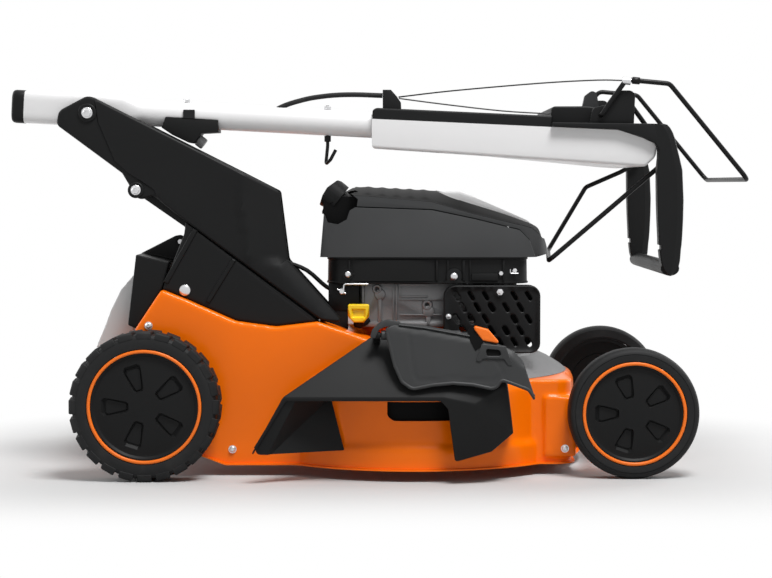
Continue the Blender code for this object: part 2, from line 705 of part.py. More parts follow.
join(guard, prism("lug", lug_outline, "X", -0.010, 0.001), prism("lug", lug_outline, "X", 0.129, 0.139),
     rod("pin", (-0.005, HINGE_Y, HINGE_Z), (0.134, HINGE_Y, HINGE_Z), HINGE_PIN, 12))

# Side flap and its latch

flap_body = body("side_flap_body", (0.065, HINGE_Y, HINGE_Z))
flap_outline = rounded([(0.0125, 0.2426, 0.004), (0.0335, 0.2545, 0.004), (0.137, 0.236, 0), (0.209, 0.211, 0.004),
                        (0.2475, FLAP_TIP_Z, 0.001), (0.236, 0.142, 0), (0.192, 0.1605, 0.004), (0.180, 0.150, 0.004),
                        (0.048, 0.150, 0.010)], 2)
side_flap = prism("side_flap", flap_outline, "Y", FLAP_Y, FLAP_Y + FLAP_THICK, GREY, (0.065, HINGE_Y, HINGE_Z))
latch_outline = [(0.1458, 0.2508), (0.1719, 0.2435), (0.187, 0.2259), (0.1856, 0.2226), (0.1628, 0.2272)]
knuckle = rod("knuckle", (0.0025, HINGE_Y, HINGE_Z), (0.1275, HINGE_Y, HINGE_Z), 0.0075, 16)
for vertex in side_flap.data.vertices:
    vertex.co.y += FLAP_LEAN * vertex.co.z
join(side_flap, knuckle)
cut(side_flap, rod("bore", (-0.02, HINGE_Y, HINGE_Z), (0.16, HINGE_Y, HINGE_Z), HINGE_PIN + SEAT, 12),
    prism("notch", offset(latch_outline, 0.0005), "Y", FLAP_Y - 0.02, FLAP_Y + 0.03))
latch_place = (0.168, FLAP_Y + 0.006, 0.236)
latch_body = body("side_flap_latch_body", latch_place, flap_body)
latch = prism("side_flap_latch", latch_outline, "Y", FLAP_Y - 0.003, FLAP_Y + 0.016, ORANGE, latch_place)
hang(flap_body, side_flap)
hang(latch_body, latch)

# Rear frame, hinge rod and flap

wedge = [(-0.411, 0.243), (DECK_REAR_X - SEAT, 0.2365), (-0.3540, 0.3026), (-0.3435, 0.346), (-0.397, 0.358)]
ear = [(-0.400, 0.290), (-0.3620, 0.2915), (-0.3475, 0.3130), (-0.3235, 0.368), (-0.3235, 0.384), (-0.331, 0.3885),
       (-0.340, 0.387), (-0.397, 0.358)]
near_ear_y = FLAP_NEAR_Y - SLIDE
far_ear_y = FLAP_FAR_Y + SLIDE
frame = prism("rear_frame", wedge, "Y", -0.190, near_ear_y)
join(frame, prism("ear", ear, "Y", near_ear_y - 0.008, near_ear_y),
     prism("wedge", wedge, "Y", far_ear_y, 0.208),
     prism("ear", ear, "Y", far_ear_y, far_ear_y + 0.008),
     box("rail", (-0.3560, near_ear_y - 0.002, 0.2955), (-0.3350, far_ear_y + 0.002, 0.3130)))
deck_skin = offset([(DECK_REAR_X, -0.2)] + deck_top_line + [(0.03, -0.2)], SEAT)
cut(frame, prism("deck", deck_skin, "Y", -2 * DECK_HALF, 2 * DECK_HALF),
    rod("bore", (ROD_X, -0.3, ROD_Z), (ROD_X, 0.3, ROD_Z), ROD_RADIUS + SEAT, 12))
flap_rod = rod("flap_rod", (ROD_X, near_ear_y - 0.0095, ROD_Z), (ROD_X, far_ear_y + 0.0095, ROD_Z), ROD_RADIUS, 12, STEEL)

rear_flap_body = body("rear_flap_body", (ROD_X, 0.0, ROD_Z))
flap_curve = [(-0.3375, 0.3825), (-0.354, 0.3624), (-0.383, 0.3460), (-0.408, 0.325), (-0.433, 0.296), (-0.4485, 0.265),
              (-0.459, 0.2375), (-0.4748, 0.200)]
flap_inside = [(-0.414, 0.200), (-0.4115, 0.243), (-0.402, 0.292), (-0.3430, 0.3560)]
rear_flap = prism("rear_flap", flap_curve + flap_inside, "Y", FLAP_NEAR_Y, FLAP_FAR_Y, LIGHT, (ROD_X, 0.0, ROD_Z))
hollow = offset(flap_curve + flap_inside, -FLAP_WALL)[:len(flap_curve)]
hollow[0] = (-0.3340, 0.3700)
hollow[-1] = (hollow[-1][0] + 0.001, 0.180)
hollow += [(-0.36, 0.18), (-0.33, 0.30)]
cut(rear_flap, prism("inside", hollow, "Y", FLAP_NEAR_Y + FLAP_WALL, FLAP_FAR_Y - FLAP_WALL))
join(rear_flap, rod("barrel", (ROD_X, FLAP_NEAR_Y, ROD_Z), (ROD_X, FLAP_FAR_Y, ROD_Z), 0.0085, 12))
cut(rear_flap, rod("bore", (ROD_X, -0.3, ROD_Z), (ROD_X, 0.3, ROD_Z), ROD_RADIUS + SEAT, 12))
hang(rear_flap_body, rear_flap)

# Console housing, its two cheeks and their bolts

cheek_corners = [(-0.523, 0.568, 0.010), (-0.520, 0.5906, 0.016), (-0.471, 0.6165, 0.020), (-0.163, 0.461, 0.006),
                 (-0.149, 0.349, 0.010), (-0.056, 0.2456, 0.004), (-0.097, 0.252, 0), (-0.3156, 0.4124, 0),
                 (-0.367, 0.453, 0.006), (-0.392, 0.446, 0.012), (-0.4176, 0.490, 0.008)]
near_inner = TUBE_Y - CHEEK_GAP / 2
far_inner = TUBE_Y + CHEEK_GAP / 2


def cheek(name, inner_y, direction):
    """A dished side plate, open towards the tube, with a boss round each bolt."""
    outer_y = inner_y + direction * CHEEK_THICK
    ends = sorted((inner_y, outer_y))
    made = prism(name, rounded(cheek_corners, 3), "Y", ends[0], ends[1])
    ends = sorted((inner_y - direction * 0.01, outer_y - direction * CHEEK_WALL))
    dish = prism("dish", rounded(inset(cheek_corners, CHEEK_RIM), 2), "Y", ends[0], ends[1])
    cut(dish, rod("boss", (FOLD_X, -0.3, FOLD_Z), (FOLD_X, 0.0, FOLD_Z), 0.016, 16),
        rod("boss", (STOP_X, -0.3, STOP_Z), (STOP_X, 0.0, STOP_Z), 0.014, 16))
    return cut(made, dish,
               rod("bore", (FOLD_X, -0.3, FOLD_Z), (FOLD_X, 0.0, FOLD_Z), FOLD_BOLT + SEAT, 16),
               rod("bore", (STOP_X, -0.3, STOP_Z), (STOP_X, 0.0, STOP_Z), STOP_BOLT + SEAT, 16))


arm_near = cheek("console_arm_near", near_inner, -1)
arm_far = cheek("console_arm_far", far_inner, 1)


def bolt(name, x, z, radius, head, head_height):
    """A through bolt along Y with its head on the near side and its nut on the far side."""
    start = near_inner - CHEEK_THICK - SEAT - head_height
    end = far_inner + CHEEK_THICK + SEAT + head_height
    length = end - start
    profile = [(0.0, 0.0), (head, 0.0), (head, head_height), (radius, head_height), (radius, length - head_height),
               (head, length - head_height), (head, length), (0.0, length)]
    return lathe(name, profile, (x, start, z), (0, 1, 0), 12, STEEL)


pivot_bolt = bolt("pivot_bolt", FOLD_X, FOLD_Z, FOLD_BOLT, 0.0095, 0.005)
stop_bolt = bolt("stop_bolt", STOP_X, STOP_Z, STOP_BOLT, 0.0085, 0.005)

lower_outline = [(-0.3536, 0.3000), (-0.3134, 0.280), (-0.233, 0.240), (-0.1686, 0.235), (-0.1002, 0.245),
                 (-0.110, 0.2533), (-0.3146, 0.4108), (-0.3197, 0.3816)]
core_outline = [(-0.3140, 0.400), (-0.386, 0.4500), (-0.386, 0.4835), (-0.360, 0.505), (-0.175, 0.440), (-0.168, 0.352),
                (-0.085, 0.2535), (-0.112, 0.2505), (-0.250, 0.335)]
console = prism("console_housing", lower_outline, "Y", TUBE_Y - CONSOLE_HALF, TUBE_Y + CONSOLE_HALF)
join(console, prism("core", core_outline, "Y", near_inner + SEAT, far_inner - SEAT))
cut(console, prism("deck", deck_skin, "Y", -2 * DECK_HALF, 2 * DECK_HALF),
    prism("hollow", [(-0.330, 0.425), (-0.350, 0.485), (-0.190, 0.430), (-0.182, 0.360), (-0.130, 0.297), (-0.235, 0.345)], "Y",
          TUBE_Y - 0.015, TUBE_Y + 0.3))

# Engine

CRANK = (CRANK_X, 0.0, 0.0)
base = PLATFORM_TOP + SEAT
block_plan = rounded([(CRANK_X - 0.091, -BLOCK_HALF, 0.012), (CRANK_X + 0.091, -BLOCK_HALF, 0.012), (CRANK_X + 0.091, 0.120, 0.012),
                      (CRANK_X - 0.091, 0.120, 0.012)], 2)
block = prism("engine_block", block_plan, "Z", base + 0.006, ENGINE_TOP, ALUMINIUM)
join(block, prism("foot", offset(block_plan, 0.004), "Z", base, base + 0.008),
     box("cylinder", (0.140, -0.055, 0.2400), (0.232, 0.075, 0.3040)),
     box("port", (0.172, -PORT_REACH, 0.256), (0.202, -0.050, 0.288)),
     box("intake", (0.165, 0.070, 0.256), (0.205, 0.105, 0.290)),
     rod("boss", (0.0, -BLOCK_HALF - 0.0045, 0.290), (0.0, -BLOCK_HALF + 0.01, 0.290), 0.009, 12),
     rod("boss", (0.080, -BLOCK_HALF - 0.0045, 0.262), (0.080, -BLOCK_HALF + 0.01, 0.262), 0.010, 12))
fins = []
for index in range(5):
    x = 0.158 + 0.015 * index
    fins.append(box("gap", (x, -0.2 if x < 0.166 or x > 0.206 else -0.0, 0.2450), (x + 0.006, -0.0470 if x < 0.166 or x > 0.206 else 0.0005, 0.31)))
cut(block, drum(CRANK_RADIUS + SEAT, 0.2, 0.33, 24), fins[0], fins[4])
for spare in fins[1:4]:
    bpy.data.objects.remove(spare, do_unlink=True)
fins = []
for index in range(4):
    z = 0.2500 + 0.013 * index
    fins.append(box("gap", (0.150, 0.0680, z), (0.160, 0.09, z + 0.005)))
    fins.append(box("gap", (0.212, 0.0680, z), (0.2325, 0.09, z + 0.005)))
cut(block, *fins)

blower_plan = rounded([(-0.088, -BLOWER_HALF, 0.035), (0.2455, -BLOWER_HALF, 0.035), (0.2455, BLOWER_HALF, 0.035),
                       (-0.088, BLOWER_HALF, 0.035)], 4)
blower = prism("blower_housing", blower_plan, "Z", ENGINE_TOP + SEAT, BLOWER_TOP)
cut(blower, prism("inside", offset(blower_plan, -0.003), "Z", ENGINE_TOP + SEAT + 0.003, 0.4), drum(0.040, 0.30, 0.32, 32))

HOOD_LOW = BLOWER_TOP + SEAT
hood_outline = [(-0.098, HOOD_LOW), (-0.091, 0.433), (-0.078, 0.4500), (-0.047, 0.4660), (-0.030, 0.4675), (0.092, 0.461),
                (0.133, 0.461), (0.253, 0.4085), (0.2665, 0.4010), (0.279, 0.366), (0.2805, 0.3575), (0.258, HOOD_LOW)]
hood_inside = offset(hood_outline, -HOOD_WALL)


def hood_plan(grow):
    """Plan of the hood with its rounded corners."""
    half = HOOD_HALF + grow
    return rounded([(-0.11, -half, 0.030), (0.2807 + grow, -half, 0.055), (0.2807 + grow, half, 0.055), (-0.11, half, 0.030)], 4)


hood = prism("engine_hood", hood_outline, "Y", -HOOD_HALF, HOOD_HALF, GREY)
keep(hood, prism("plan", hood_plan(0.0), "Z", 0.3, 0.5))
inside = prism("inside", hood_inside, "Y", -HOOD_HALF + HOOD_WALL, HOOD_HALF - HOOD_WALL)
keep(inside, prism("plan", hood_plan(-HOOD_WALL), "Z", 0.3, 0.5))
GRIP_AT = Vector((0.020, HOOD_HALF, 0.424))
cut(hood, inside, prism("mouth", offset(blower_plan, -HOOD_FLANGE), "Z", 0.34, 0.36),
    rod("recess", CAP_FACE - CAP_AXIS * 0.040, CAP_FACE + CAP_AXIS * 0.03, CAP_RADIUS + 0.004, 20),
    rod("hole", GRIP_AT - Vector((0, 0.02, 0)), GRIP_AT + Vector((0, 0.02, 0)), 0.0035, 12))

inlay_outline = [(0.096, 0.4614), (0.1333, 0.4614), (0.2500, 0.4103), (0.2535, 0.4130), (0.1395, 0.4660), (0.100, 0.4660)]
inlay_plan = rounded([(0.09, -0.085, 0), (0.256, -0.060, 0), (0.256, 0.060, 0), (0.09, 0.085, 0)], 1)
inlay = prism("hood_inlay", inlay_outline, "Y", -0.1, 0.1, LIGHT)
keep(inlay, prism("plan", inlay_plan, "Z", 0.4, 0.5))

tank_low = HOOD_LOW + HOOD_WALL + SEAT
tank_outline = [(-0.0868, tank_low), (-0.083, 0.425), (-0.045, 0.452), (0.020, 0.450), (0.020, 0.380),
                (-0.058, 0.380), (-0.058, tank_low)]
tank = prism("fuel_tank", tank_outline, "Y", -0.140, 0.140)
cap_base = CAP_FACE - CAP_AXIS * CAP_HEIGHT
cut(tank, rod("space", cap_base - CAP_AXIS * 0.001, cap_base + CAP_AXIS * 0.08, CAP_RADIUS + 0.003, 20))
join(tank, rod("neck", cap_base - CAP_AXIS * 0.030, cap_base - CAP_AXIS * SEAT, 0.018, 20))
keep(tank, prism("plan", offset(blower_plan, -0.004), "Z", 0.3, 0.5))

fuel_cap_body = body("fuel_cap_body", CAP_FACE)
cap_profile = [(0.0, 0.0), (CAP_RADIUS - 0.002, 0.0), (CAP_RADIUS, 0.003), (CAP_RADIUS, CAP_HEIGHT - 0.004),
               (CAP_RADIUS - 0.004, CAP_HEIGHT), (0.0, CAP_HEIGHT)]
fuel_cap = lathe("fuel_cap", cap_profile, cap_base, CAP_AXIS, 24, BLACK, CAP_FACE)
hang(fuel_cap_body, fuel_cap)

starter_body = body("starter_body", GRIP_AT)
GRIP_FOOT = HOOD_HALF + 0.0005
GRIP_HEAD = HOOD_HALF + 0.018
grip_plan = rounded([(GRIP_AT.x - 0.040, GRIP_FOOT, 0), (GRIP_AT.x - 0.043, GRIP_HEAD, 0.006), (GRIP_AT.x + 0.043, GRIP_HEAD, 0.006),
                     (GRIP_AT.x + 0.040, GRIP_FOOT, 0)], 2)
starter = prism("starter_grip", grip_plan, "Z", 0.415, 0.433, BLACK, GRIP_AT)
join(starter, rod("stem", GRIP_AT - Vector((0, 0.012, 0)), GRIP_AT + Vector((0, 0.004, 0)), 0.0032, 12))
hang(starter_body, starter)

dip_body = body("dipstick_body", DIP_SEAT)
tube_low = DIP_SEAT - DIP_AXIS * 0.010
dipstick_tube = rod("dipstick_tube", tube_low, DIP_SEAT, 0.0085, 16)
join(dipstick_tube, rod("elbow", (-0.0345, -0.1530, 0.2400), (-0.0200, -0.1395, 0.2470), 0.0060, 12))
cut(dipstick_tube, rod("bore", DIP_SEAT - DIP_AXIS * 0.006, DIP_SEAT + DIP_AXIS * 0.02, 0.0040, 12),
    prism("face", offset(block_plan, 0.004 + SEAT), "Z", 0.2, 0.2445 + SEAT),
    prism("face", offset(block_plan, SEAT), "Z", 0.2, 0.3))
side_axis = Vector((1.0, 0.0, 0.0))
front_axis = DIP_AXIS.cross(side_axis)
paddle_points = []
for reach, half, thick in ((SEAT, 0.009, 0.0075), (0.008, 0.009, 0.0075), (0.011, 0.0175, 0.0055), (0.027, 0.0175, 0.0050),
                           (0.029, 0.0155, 0.0045)):
    for u in (-1, 1):
        for v in (-1, 1):
            paddle_points.append(DIP_SEAT + DIP_AXIS * reach + side_axis * half * u + front_axis * thick * v)
dipstick = hull("dipstick", paddle_points, YELLOW, DIP_SEAT)
join(dipstick, rod("plug", DIP_SEAT - DIP_AXIS * 0.0055, DIP_SEAT + DIP_AXIS * 0.004, 0.0037, 12))
hang(dip_body, dipstick)

muffler = prism("muffler", rounded([(0.158, 0.205, 0.012), (0.252, 0.205, 0.012), (0.252, 0.303, 0.012), (0.158, 0.303, 0.012)], 2),
                "Y", MUFFLER_Y, -PORT_REACH - SEAT, STEEL)
guard_outline = rounded([(0.104, 0.2150, 0.022), (0.1400, 0.1950, 0), (0.2635, 0.1950, 0.022), (0.2635, 0.3075, 0.020),
                         (0.104, 0.3075, 0.020)], 3)
muffler_guard = prism("muffler_guard", guard_outline, "Y", -0.1720, -BLOCK_HALF - 0.0055, BLACK_STEEL)
slots = [prism("inside", offset(guard_outline, -0.003), "Y", -0.1690, -0.05)]
for row, start, count in ((0, 0.128, 4), (1, 0.116, 5), (2, 0.136, 4)):
    for index in range(count):
        x = start + 0.026 * index
        z = 0.292 - 0.034 * row
        slots.append(prism("slot", [(x, z), (x + 0.008, z), (x + 0.022, z - 0.024), (x + 0.014, z - 0.024)], "Y", -0.19, -0.1675))
cut(muffler_guard, *slots)
join(muffler_guard, rod("post", (0.1845, -0.1745, 0.2880), (0.1845, MUFFLER_Y - SEAT, 0.2880), 0.0045, 12),
     rod("post", (0.1190, -0.1745, 0.2650), (0.1190, -BLOCK_HALF - SEAT, 0.2650), 0.0040, 12))

spark_plug = lathe("spark_plug", [(0.0, 0.0), (0.007, 0.0), (0.007, 0.008), (0.009, 0.009), (0.009, 0.030), (0.0065, 0.034), (0.0, 0.034)],
                   (0.2320 + SEAT, 0.010, 0.272), (1, 0, 0), 12)

# Crankshaft, flywheel and blade

crank_body = body("crank_body", (CRANK_X, 0.0, 0.2))
blade_top = BLADE_Z + BLADE_THICK
crank_profile = [(0.0, 0.372), (CRANK_RADIUS, 0.372), (CRANK_RADIUS, 0.070), (0.028, 0.064), (0.028, blade_top + SEAT),
                 (0.0053, blade_top + SEAT), (0.0053, 0.080), (0.0, 0.080)]
crankshaft = lathe("crankshaft", crank_profile, CRANK, (0, 0, 1), 24, STEEL, (CRANK_X, 0.0, 0.2))
wheel_profile = [(CRANK_RADIUS + SEAT, 0.314), (0.034, 0.314), (0.034, 0.324), (FLYWHEEL_RADIUS, 0.324), (FLYWHEEL_RADIUS, 0.346),
                 (0.050, 0.346), (0.044, 0.366), (CRANK_RADIUS + SEAT, 0.366)]
flywheel = lathe("flywheel", wheel_profile, CRANK, (0, 0, 1), 24, ALUMINIUM, (CRANK_X, 0.0, 0.2))
half_width = BLADE_WIDTH / 2
blade_plan = [(CRANK_X - BLADE_RADIUS, -half_width + 0.006), (CRANK_X - BLADE_RADIUS + 0.008, -half_width),
              (CRANK_X + BLADE_RADIUS - 0.010, -half_width), (CRANK_X + BLADE_RADIUS, half_width - 0.006),
              (CRANK_X + BLADE_RADIUS - 0.008, half_width), (CRANK_X - BLADE_RADIUS + 0.010, half_width)]
blade = prism("blade", blade_plan, "Z", BLADE_Z, blade_top, STEEL, (CRANK_X, 0.0, 0.2))
for turn in (1, -1):
    sail = [(turn * (BLADE_RADIUS - 0.075), turn * (half_width - 0.012), BLADE_Z), (turn * (BLADE_RADIUS - 0.012), turn * (half_width - 0.012), BLADE_Z),
            (turn * (BLADE_RADIUS - 0.075), turn * (half_width - 0.001), BLADE_Z), (turn * (BLADE_RADIUS - 0.012), turn * (half_width - 0.001), BLADE_Z),
            (turn * (BLADE_RADIUS - 0.062), turn * (half_width + 0.004), BLADE_Z + 0.012), (turn * (BLADE_RADIUS - 0.014), turn * (half_width + 0.004), BLADE_Z + 0.012),
            (turn * (BLADE_RADIUS - 0.062), turn * (half_width + 0.008), BLADE_Z + 0.010), (turn * (BLADE_RADIUS - 0.014), turn * (half_width + 0.008), BLADE_Z + 0.010)]
    join(blade, hull("sail", [(CRANK_X + x, y, z) for x, y, z in sail]))
cut(blade, drum(0.0053, 0.0, 0.1, 12))
bolt_profile = [(0.0, 0.076), (0.0050, 0.076), (0.0050, BLADE_Z - SEAT), (0.013, BLADE_Z - SEAT), (0.013, BLADE_Z - 0.003),
                (0.009, BLADE_Z - 0.003), (0.009, BLADE_Z - 0.010), (0.0, BLADE_Z - 0.010)]
blade_bolt = lathe("blade_bolt", bolt_profile, CRANK, (0, 0, 1), 12, STEEL, (CRANK_X, 0.0, 0.2))
hang(crank_body, crankshaft, flywheel, blade, blade_bolt)

# Engine cable, from the console to the crankcase

cable_route = [(-0.1560, -0.160, 0.3455), (-0.120, -0.160, 0.331), (-0.088, -0.147, 0.303), (-0.064, -0.124, 0.2915),
               (-0.050, -0.115, 0.289), (CRANK_X - 0.091 - SEAT * 2, -0.115, 0.289)]
engine_cable = sweep("engine_cable", smooth_path(cable_route, 4), circle(0.0035, 8))

# Handlebar

bar = body("handlebar_body", (FOLD_X, 0.0, FOLD_Z))
bar_origin = (FOLD_X, 0.0, FOLD_Z)


def on_tube(x, dy=0.0, dz=0.0):
    """A point beside the handle tube's centre line."""
    return Vector((x, TUBE_Y + dy, tube_z(x) + dz))


def tail_section(grow):
    return rounded([(-TUBE_RADIUS - grow, -TAIL_HEIGHT / 2 - grow, 0.010), (TUBE_RADIUS + grow, -TAIL_HEIGHT / 2 - grow, 0.010),
                    (TUBE_RADIUS + grow, TAIL_HEIGHT / 2 + grow, 0.010), (-TUBE_RADIUS - grow, TAIL_HEIGHT / 2 + grow, 0.010)], 3)




def swaged(start_x, grow):
    """Corners of the tail, which narrows to the round tube."""
    points = []
    for x in (start_x, TAIL_FRONT_X):
        points += [on_tube(x - TUBE_SLOPE * v, u, v) for u, v in tail_section(grow + 0.0002)]
    points += [on_tube(SWAGE_END_X - TUBE_SLOPE * v, u, v) for u, v in circle(TUBE_RADIUS + grow - 0.0001, 20)]
    return points


handle_tube = hull("handle_tube", swaged(TAIL_END_X, 0.0), WHITE, bar_origin)
join(handle_tube, sweep("round", [on_tube(SWAGE_END_X - 0.012), on_tube(TUBE_END_X)], circle(TUBE_RADIUS, 20)))
cut(handle_tube, hull("inside", swaged(TAIL_END_X - 0.02, -TUBE_WALL)),
    sweep("inside", [on_tube(SWAGE_END_X - 0.012), on_tube(TUBE_END_X + 0.02)], circle(TUBE_RADIUS - TUBE_WALL, 20)),
    rod("bore", (FOLD_X, -0.3, FOLD_Z), (FOLD_X, 0.0, FOLD_Z), FOLD_BOLT + SEAT, 16))
HOOK_X = -0.0855
HOSE_X = -0.166
HOSE_RADIUS = 0.0045
cut(handle_tube, rod("hole", on_tube(HOOK_X, 0, -0.05), on_tube(HOOK_X, 0, 0.05), 0.0033, 10),
    rod("hole", on_tube(HOSE_X, 0, 0.005), on_tube(HOSE_X, 0, 0.05), HOSE_RADIUS + 0.0008, 12))

end_cap = sweep("tube_end_cap", [on_tube(CAP_END_X), on_tube(TAIL_END_X - SEAT)], tail_section(0.0006), BLACK, bar_origin)
join(end_cap, sweep("plug", [on_tube(TAIL_END_X - 0.005), on_tube(TAIL_END_X + 0.020)], tail_section(-TUBE_WALL - SEAT)))

clamp_outline = [(-0.3480, 0.5815), (-0.2625, 0.5765), (-0.2620, 0.5562), (-0.2900, 0.5548), (-0.3030, 0.5387), (-0.3106, 0.5396),
                 (-0.3372, 0.5522), (-0.3546, 0.5640)]
CLAMP_HALF = TUBE_RADIUS + 0.003
clamp = prism("tube_clamp", clamp_outline, "Y", TUBE_Y - CLAMP_HALF, TUBE_Y + CLAMP_HALF, BLACK, bar_origin)
join(clamp, box("tab", (-0.3193, TUBE_Y - CLAMP_HALF + 0.0002, 0.5700), (-0.3005, TUBE_Y + CLAMP_HALF - 0.0002, 0.5931)))
PEG_AXIS = Vector((0.79, 0.0, -0.613)).normalized()
PEG_SEAT = Vector((-0.2980, TUBE_Y, 0.5452))
PEG_STEM = 0.0045
PEG_STEM_LENGTH = 0.0135
PEG_TRAVEL_GAP = 0.0005
cut(clamp, sweep("bore", [on_tube(-0.42), on_tube(-0.20)], circle(TUBE_RADIUS + SEAT, 20)),
    rod("hole", PEG_SEAT - PEG_AXIS * (PEG_STEM_LENGTH + 0.001), PEG_SEAT + PEG_AXIS * 0.02, PEG_STEM + PEG_TRAVEL_GAP, 16))
peg_face = max((PEG_AXIS.x * (x - PEG_SEAT.x) + PEG_AXIS.z * (z - PEG_SEAT.z)) for x, z in clamp_outline[3:5]) + PEG_TRAVEL_GAP
peg_body = body("release_peg_body", PEG_SEAT, bar)
peg_profile = [(0.0, -PEG_STEM_LENGTH), (PEG_STEM, -PEG_STEM_LENGTH), (PEG_STEM, peg_face), (0.0088, peg_face), (0.0095, peg_face + 0.001),
               (0.0095, 0.0125), (0.0085, 0.0140), (0.0, 0.0140)]
peg = lathe("release_peg", peg_profile, PEG_SEAT, PEG_AXIS, 20, GREY, PEG_SEAT)
hang(peg_body, peg)

hook_top = tube_z(HOOK_X) + TUBE_RADIUS
hook_low = tube_z(HOOK_X) - TUBE_RADIUS
hook_path = bent([(HOOK_X, TUBE_Y, hook_top + 0.007), (HOOK_X, TUBE_Y, 0.535), (-0.0885, TUBE_Y - 0.001, 0.5050),
                  (-0.0800, TUBE_Y - 0.0165, 0.5110), (-0.0745, TUBE_Y - 0.0125, 0.5245)], [0.008, 0.007, 0.007], 3)
rope_hook = sweep("rope_hook", hook_path, circle(0.0028, 8), BLACK_STEEL, bar_origin)
join(rope_hook, rod("nut", (HOOK_X, TUBE_Y, hook_top + SEAT * 2), (HOOK_X, TUBE_Y, hook_top + 0.0085), 0.006, 6),
     rod("collar", (HOOK_X, TUBE_Y, hook_low - 0.010), (HOOK_X, TUBE_Y, hook_low - SEAT * 2), 0.0055, 12))

# Handle shell, a trough that the cover closes

shell_plan = [(-0.013, -HANDLE_HALF), (0.4445, -HANDLE_HALF), (0.4445, HANDLE_HALF), (0.400, HANDLE_HALF), (0.170, -0.130), (-0.013, -0.130)]
shell_top = [(-0.014, 0.5780), (0.385, 0.5600), (0.425, 0.5470), (0.4450, 0.5300)]
shell_bottom = [(0.4450, 0.5165), (0.429, 0.5006), (-0.014, 0.5310)]
shell = prism("handle_shell", shell_top + shell_bottom, "Y", -HANDLE_HALF, HANDLE_HALF, WHITE, bar_origin)
keep(shell, prism("plan", shell_plan, "Z", 0.4, 0.7))
trough_bottom = [(x - 0.006, z + SHELL_WALL) for x, z in shell_bottom[:-1]] + [(-0.02, 0.5310 + SHELL_WALL)]
trough = prism("trough", [(-0.02, 0.70), (0.430, 0.70), (0.4385, 0.53)] + trough_bottom, "Y", -HANDLE_HALF, HANDLE_HALF)
keep(trough, prism("plan", offset(shell_plan, -SHELL_WALL), "Z", 0.4, 0.8))
handle_bore = sweep("bore", [on_tube(-0.05), on_tube(TUBE_END_X + SEAT)], circle(TUBE_RADIUS + SEAT, 20))
cut(shell, trough, handle_bore)

BASE_X = 0.2785
cover_profile = [(-0.012, 0.5782), (-0.012, 0.5920), (-0.006, 0.5960), (0.060, 0.5925), (BASE_X - SEAT, 0.5830), (BASE_X - SEAT, 0.5651)]
cover = prism("handle_cover", cover_profile, "Y", -HANDLE_HALF, HANDLE_HALF, BLACK, bar_origin)
keep(cover, prism("plan", offset(shell_plan, -0.0005), "Z", 0.4, 0.7))
cover_inside = [(-0.020, 0.5600), (-0.009, 0.5600), (-0.0085, 0.5920), (0.060, 0.5890), (BASE_X - 0.003, 0.5800), (BASE_X - 0.003, 0.5500)]
inside = prism("inside", cover_inside[1:], "Y", -HANDLE_HALF, HANDLE_HALF)
keep(inside, prism("plan", offset(shell_plan, -0.004), "Z", 0.4, 0.7))
cut(cover, inside, sweep("bore", [on_tube(-0.05), on_tube(TUBE_END_X + 0.01)], circle(TUBE_RADIUS + SEAT, 20)))

# Grip loop with its base plate, shoulders and ears

bar_outline = rounded([(BASE_X, 0.5652, 0), (0.385, 0.5604, 0), (0.4253, 0.5474, 0), (0.4500, 0.5290, 0.004), (0.4475, 0.4950, 0),
                       (0.4488, 0.4463, 0), (0.4517, 0.3830, 0), (0.4560, 0.3420, 0.010), (0.4640, 0.3212, 0.008), (0.4780, 0.3262, 0.008),
                       (0.4878, 0.3472, 0), (0.4910, 0.3862, 0), (0.4926, 0.4463, 0), (0.4910, 0.4918, 0), (0.4804, 0.5373, 0),
                       (0.4690, 0.5700, 0.012), (BASE_X, 0.5720, 0)], 3)
grip = prism("grip_loop", bar_outline, "Y", -GRIP_OUTER, -GRIP_INNER, BLACK, bar_origin)
ear_outline = rounded([(0.340, 0.5700, 0), (0.345, 0.5960, 0.010), (0.372, 0.6020, 0), (0.386, 0.6240, 0.010), (0.414, 0.6240, 0.010),
                       (0.412, 0.5700, 0)], 3)
cross_section = []
for step in range(12):
    angle = 2 * math.pi * step / 12
    cross_section.append((0.4712 + 0.0162 * math.cos(angle), 0.3375 + 0.0160 * math.sin(angle)))
join(grip, prism("side", bar_outline, "Y", GRIP_INNER, GRIP_OUTER),
     prism("cross", cross_section, "Y", -GRIP_OUTER + 0.003, GRIP_OUTER - 0.003),
     prism("base", [(BASE_X, 0.5652), (0.376, 0.5608), (0.376, 0.5720), (BASE_X, 0.5720)], "Y", -GRIP_INNER - 0.002, GRIP_INNER + 0.002),
     prism("ear", ear_outline, "Y", -EAR_OUTER, -GRIP_INNER), prism("ear", ear_outline, "Y", GRIP_INNER, EAR_OUTER))
cut(grip, rod("bore", (STOP_PIVOT[0], -0.3, STOP_PIVOT[1]), (STOP_PIVOT[0], 0.3, STOP_PIVOT[1]), BAIL_RADIUS + SEAT, 12),
    rod("bore", (DRIVE_PIVOT[0], -0.3, DRIVE_PIVOT[1]), (DRIVE_PIVOT[0], 0.3, DRIVE_PIVOT[1]), BAIL_RADIUS + SEAT, 12))

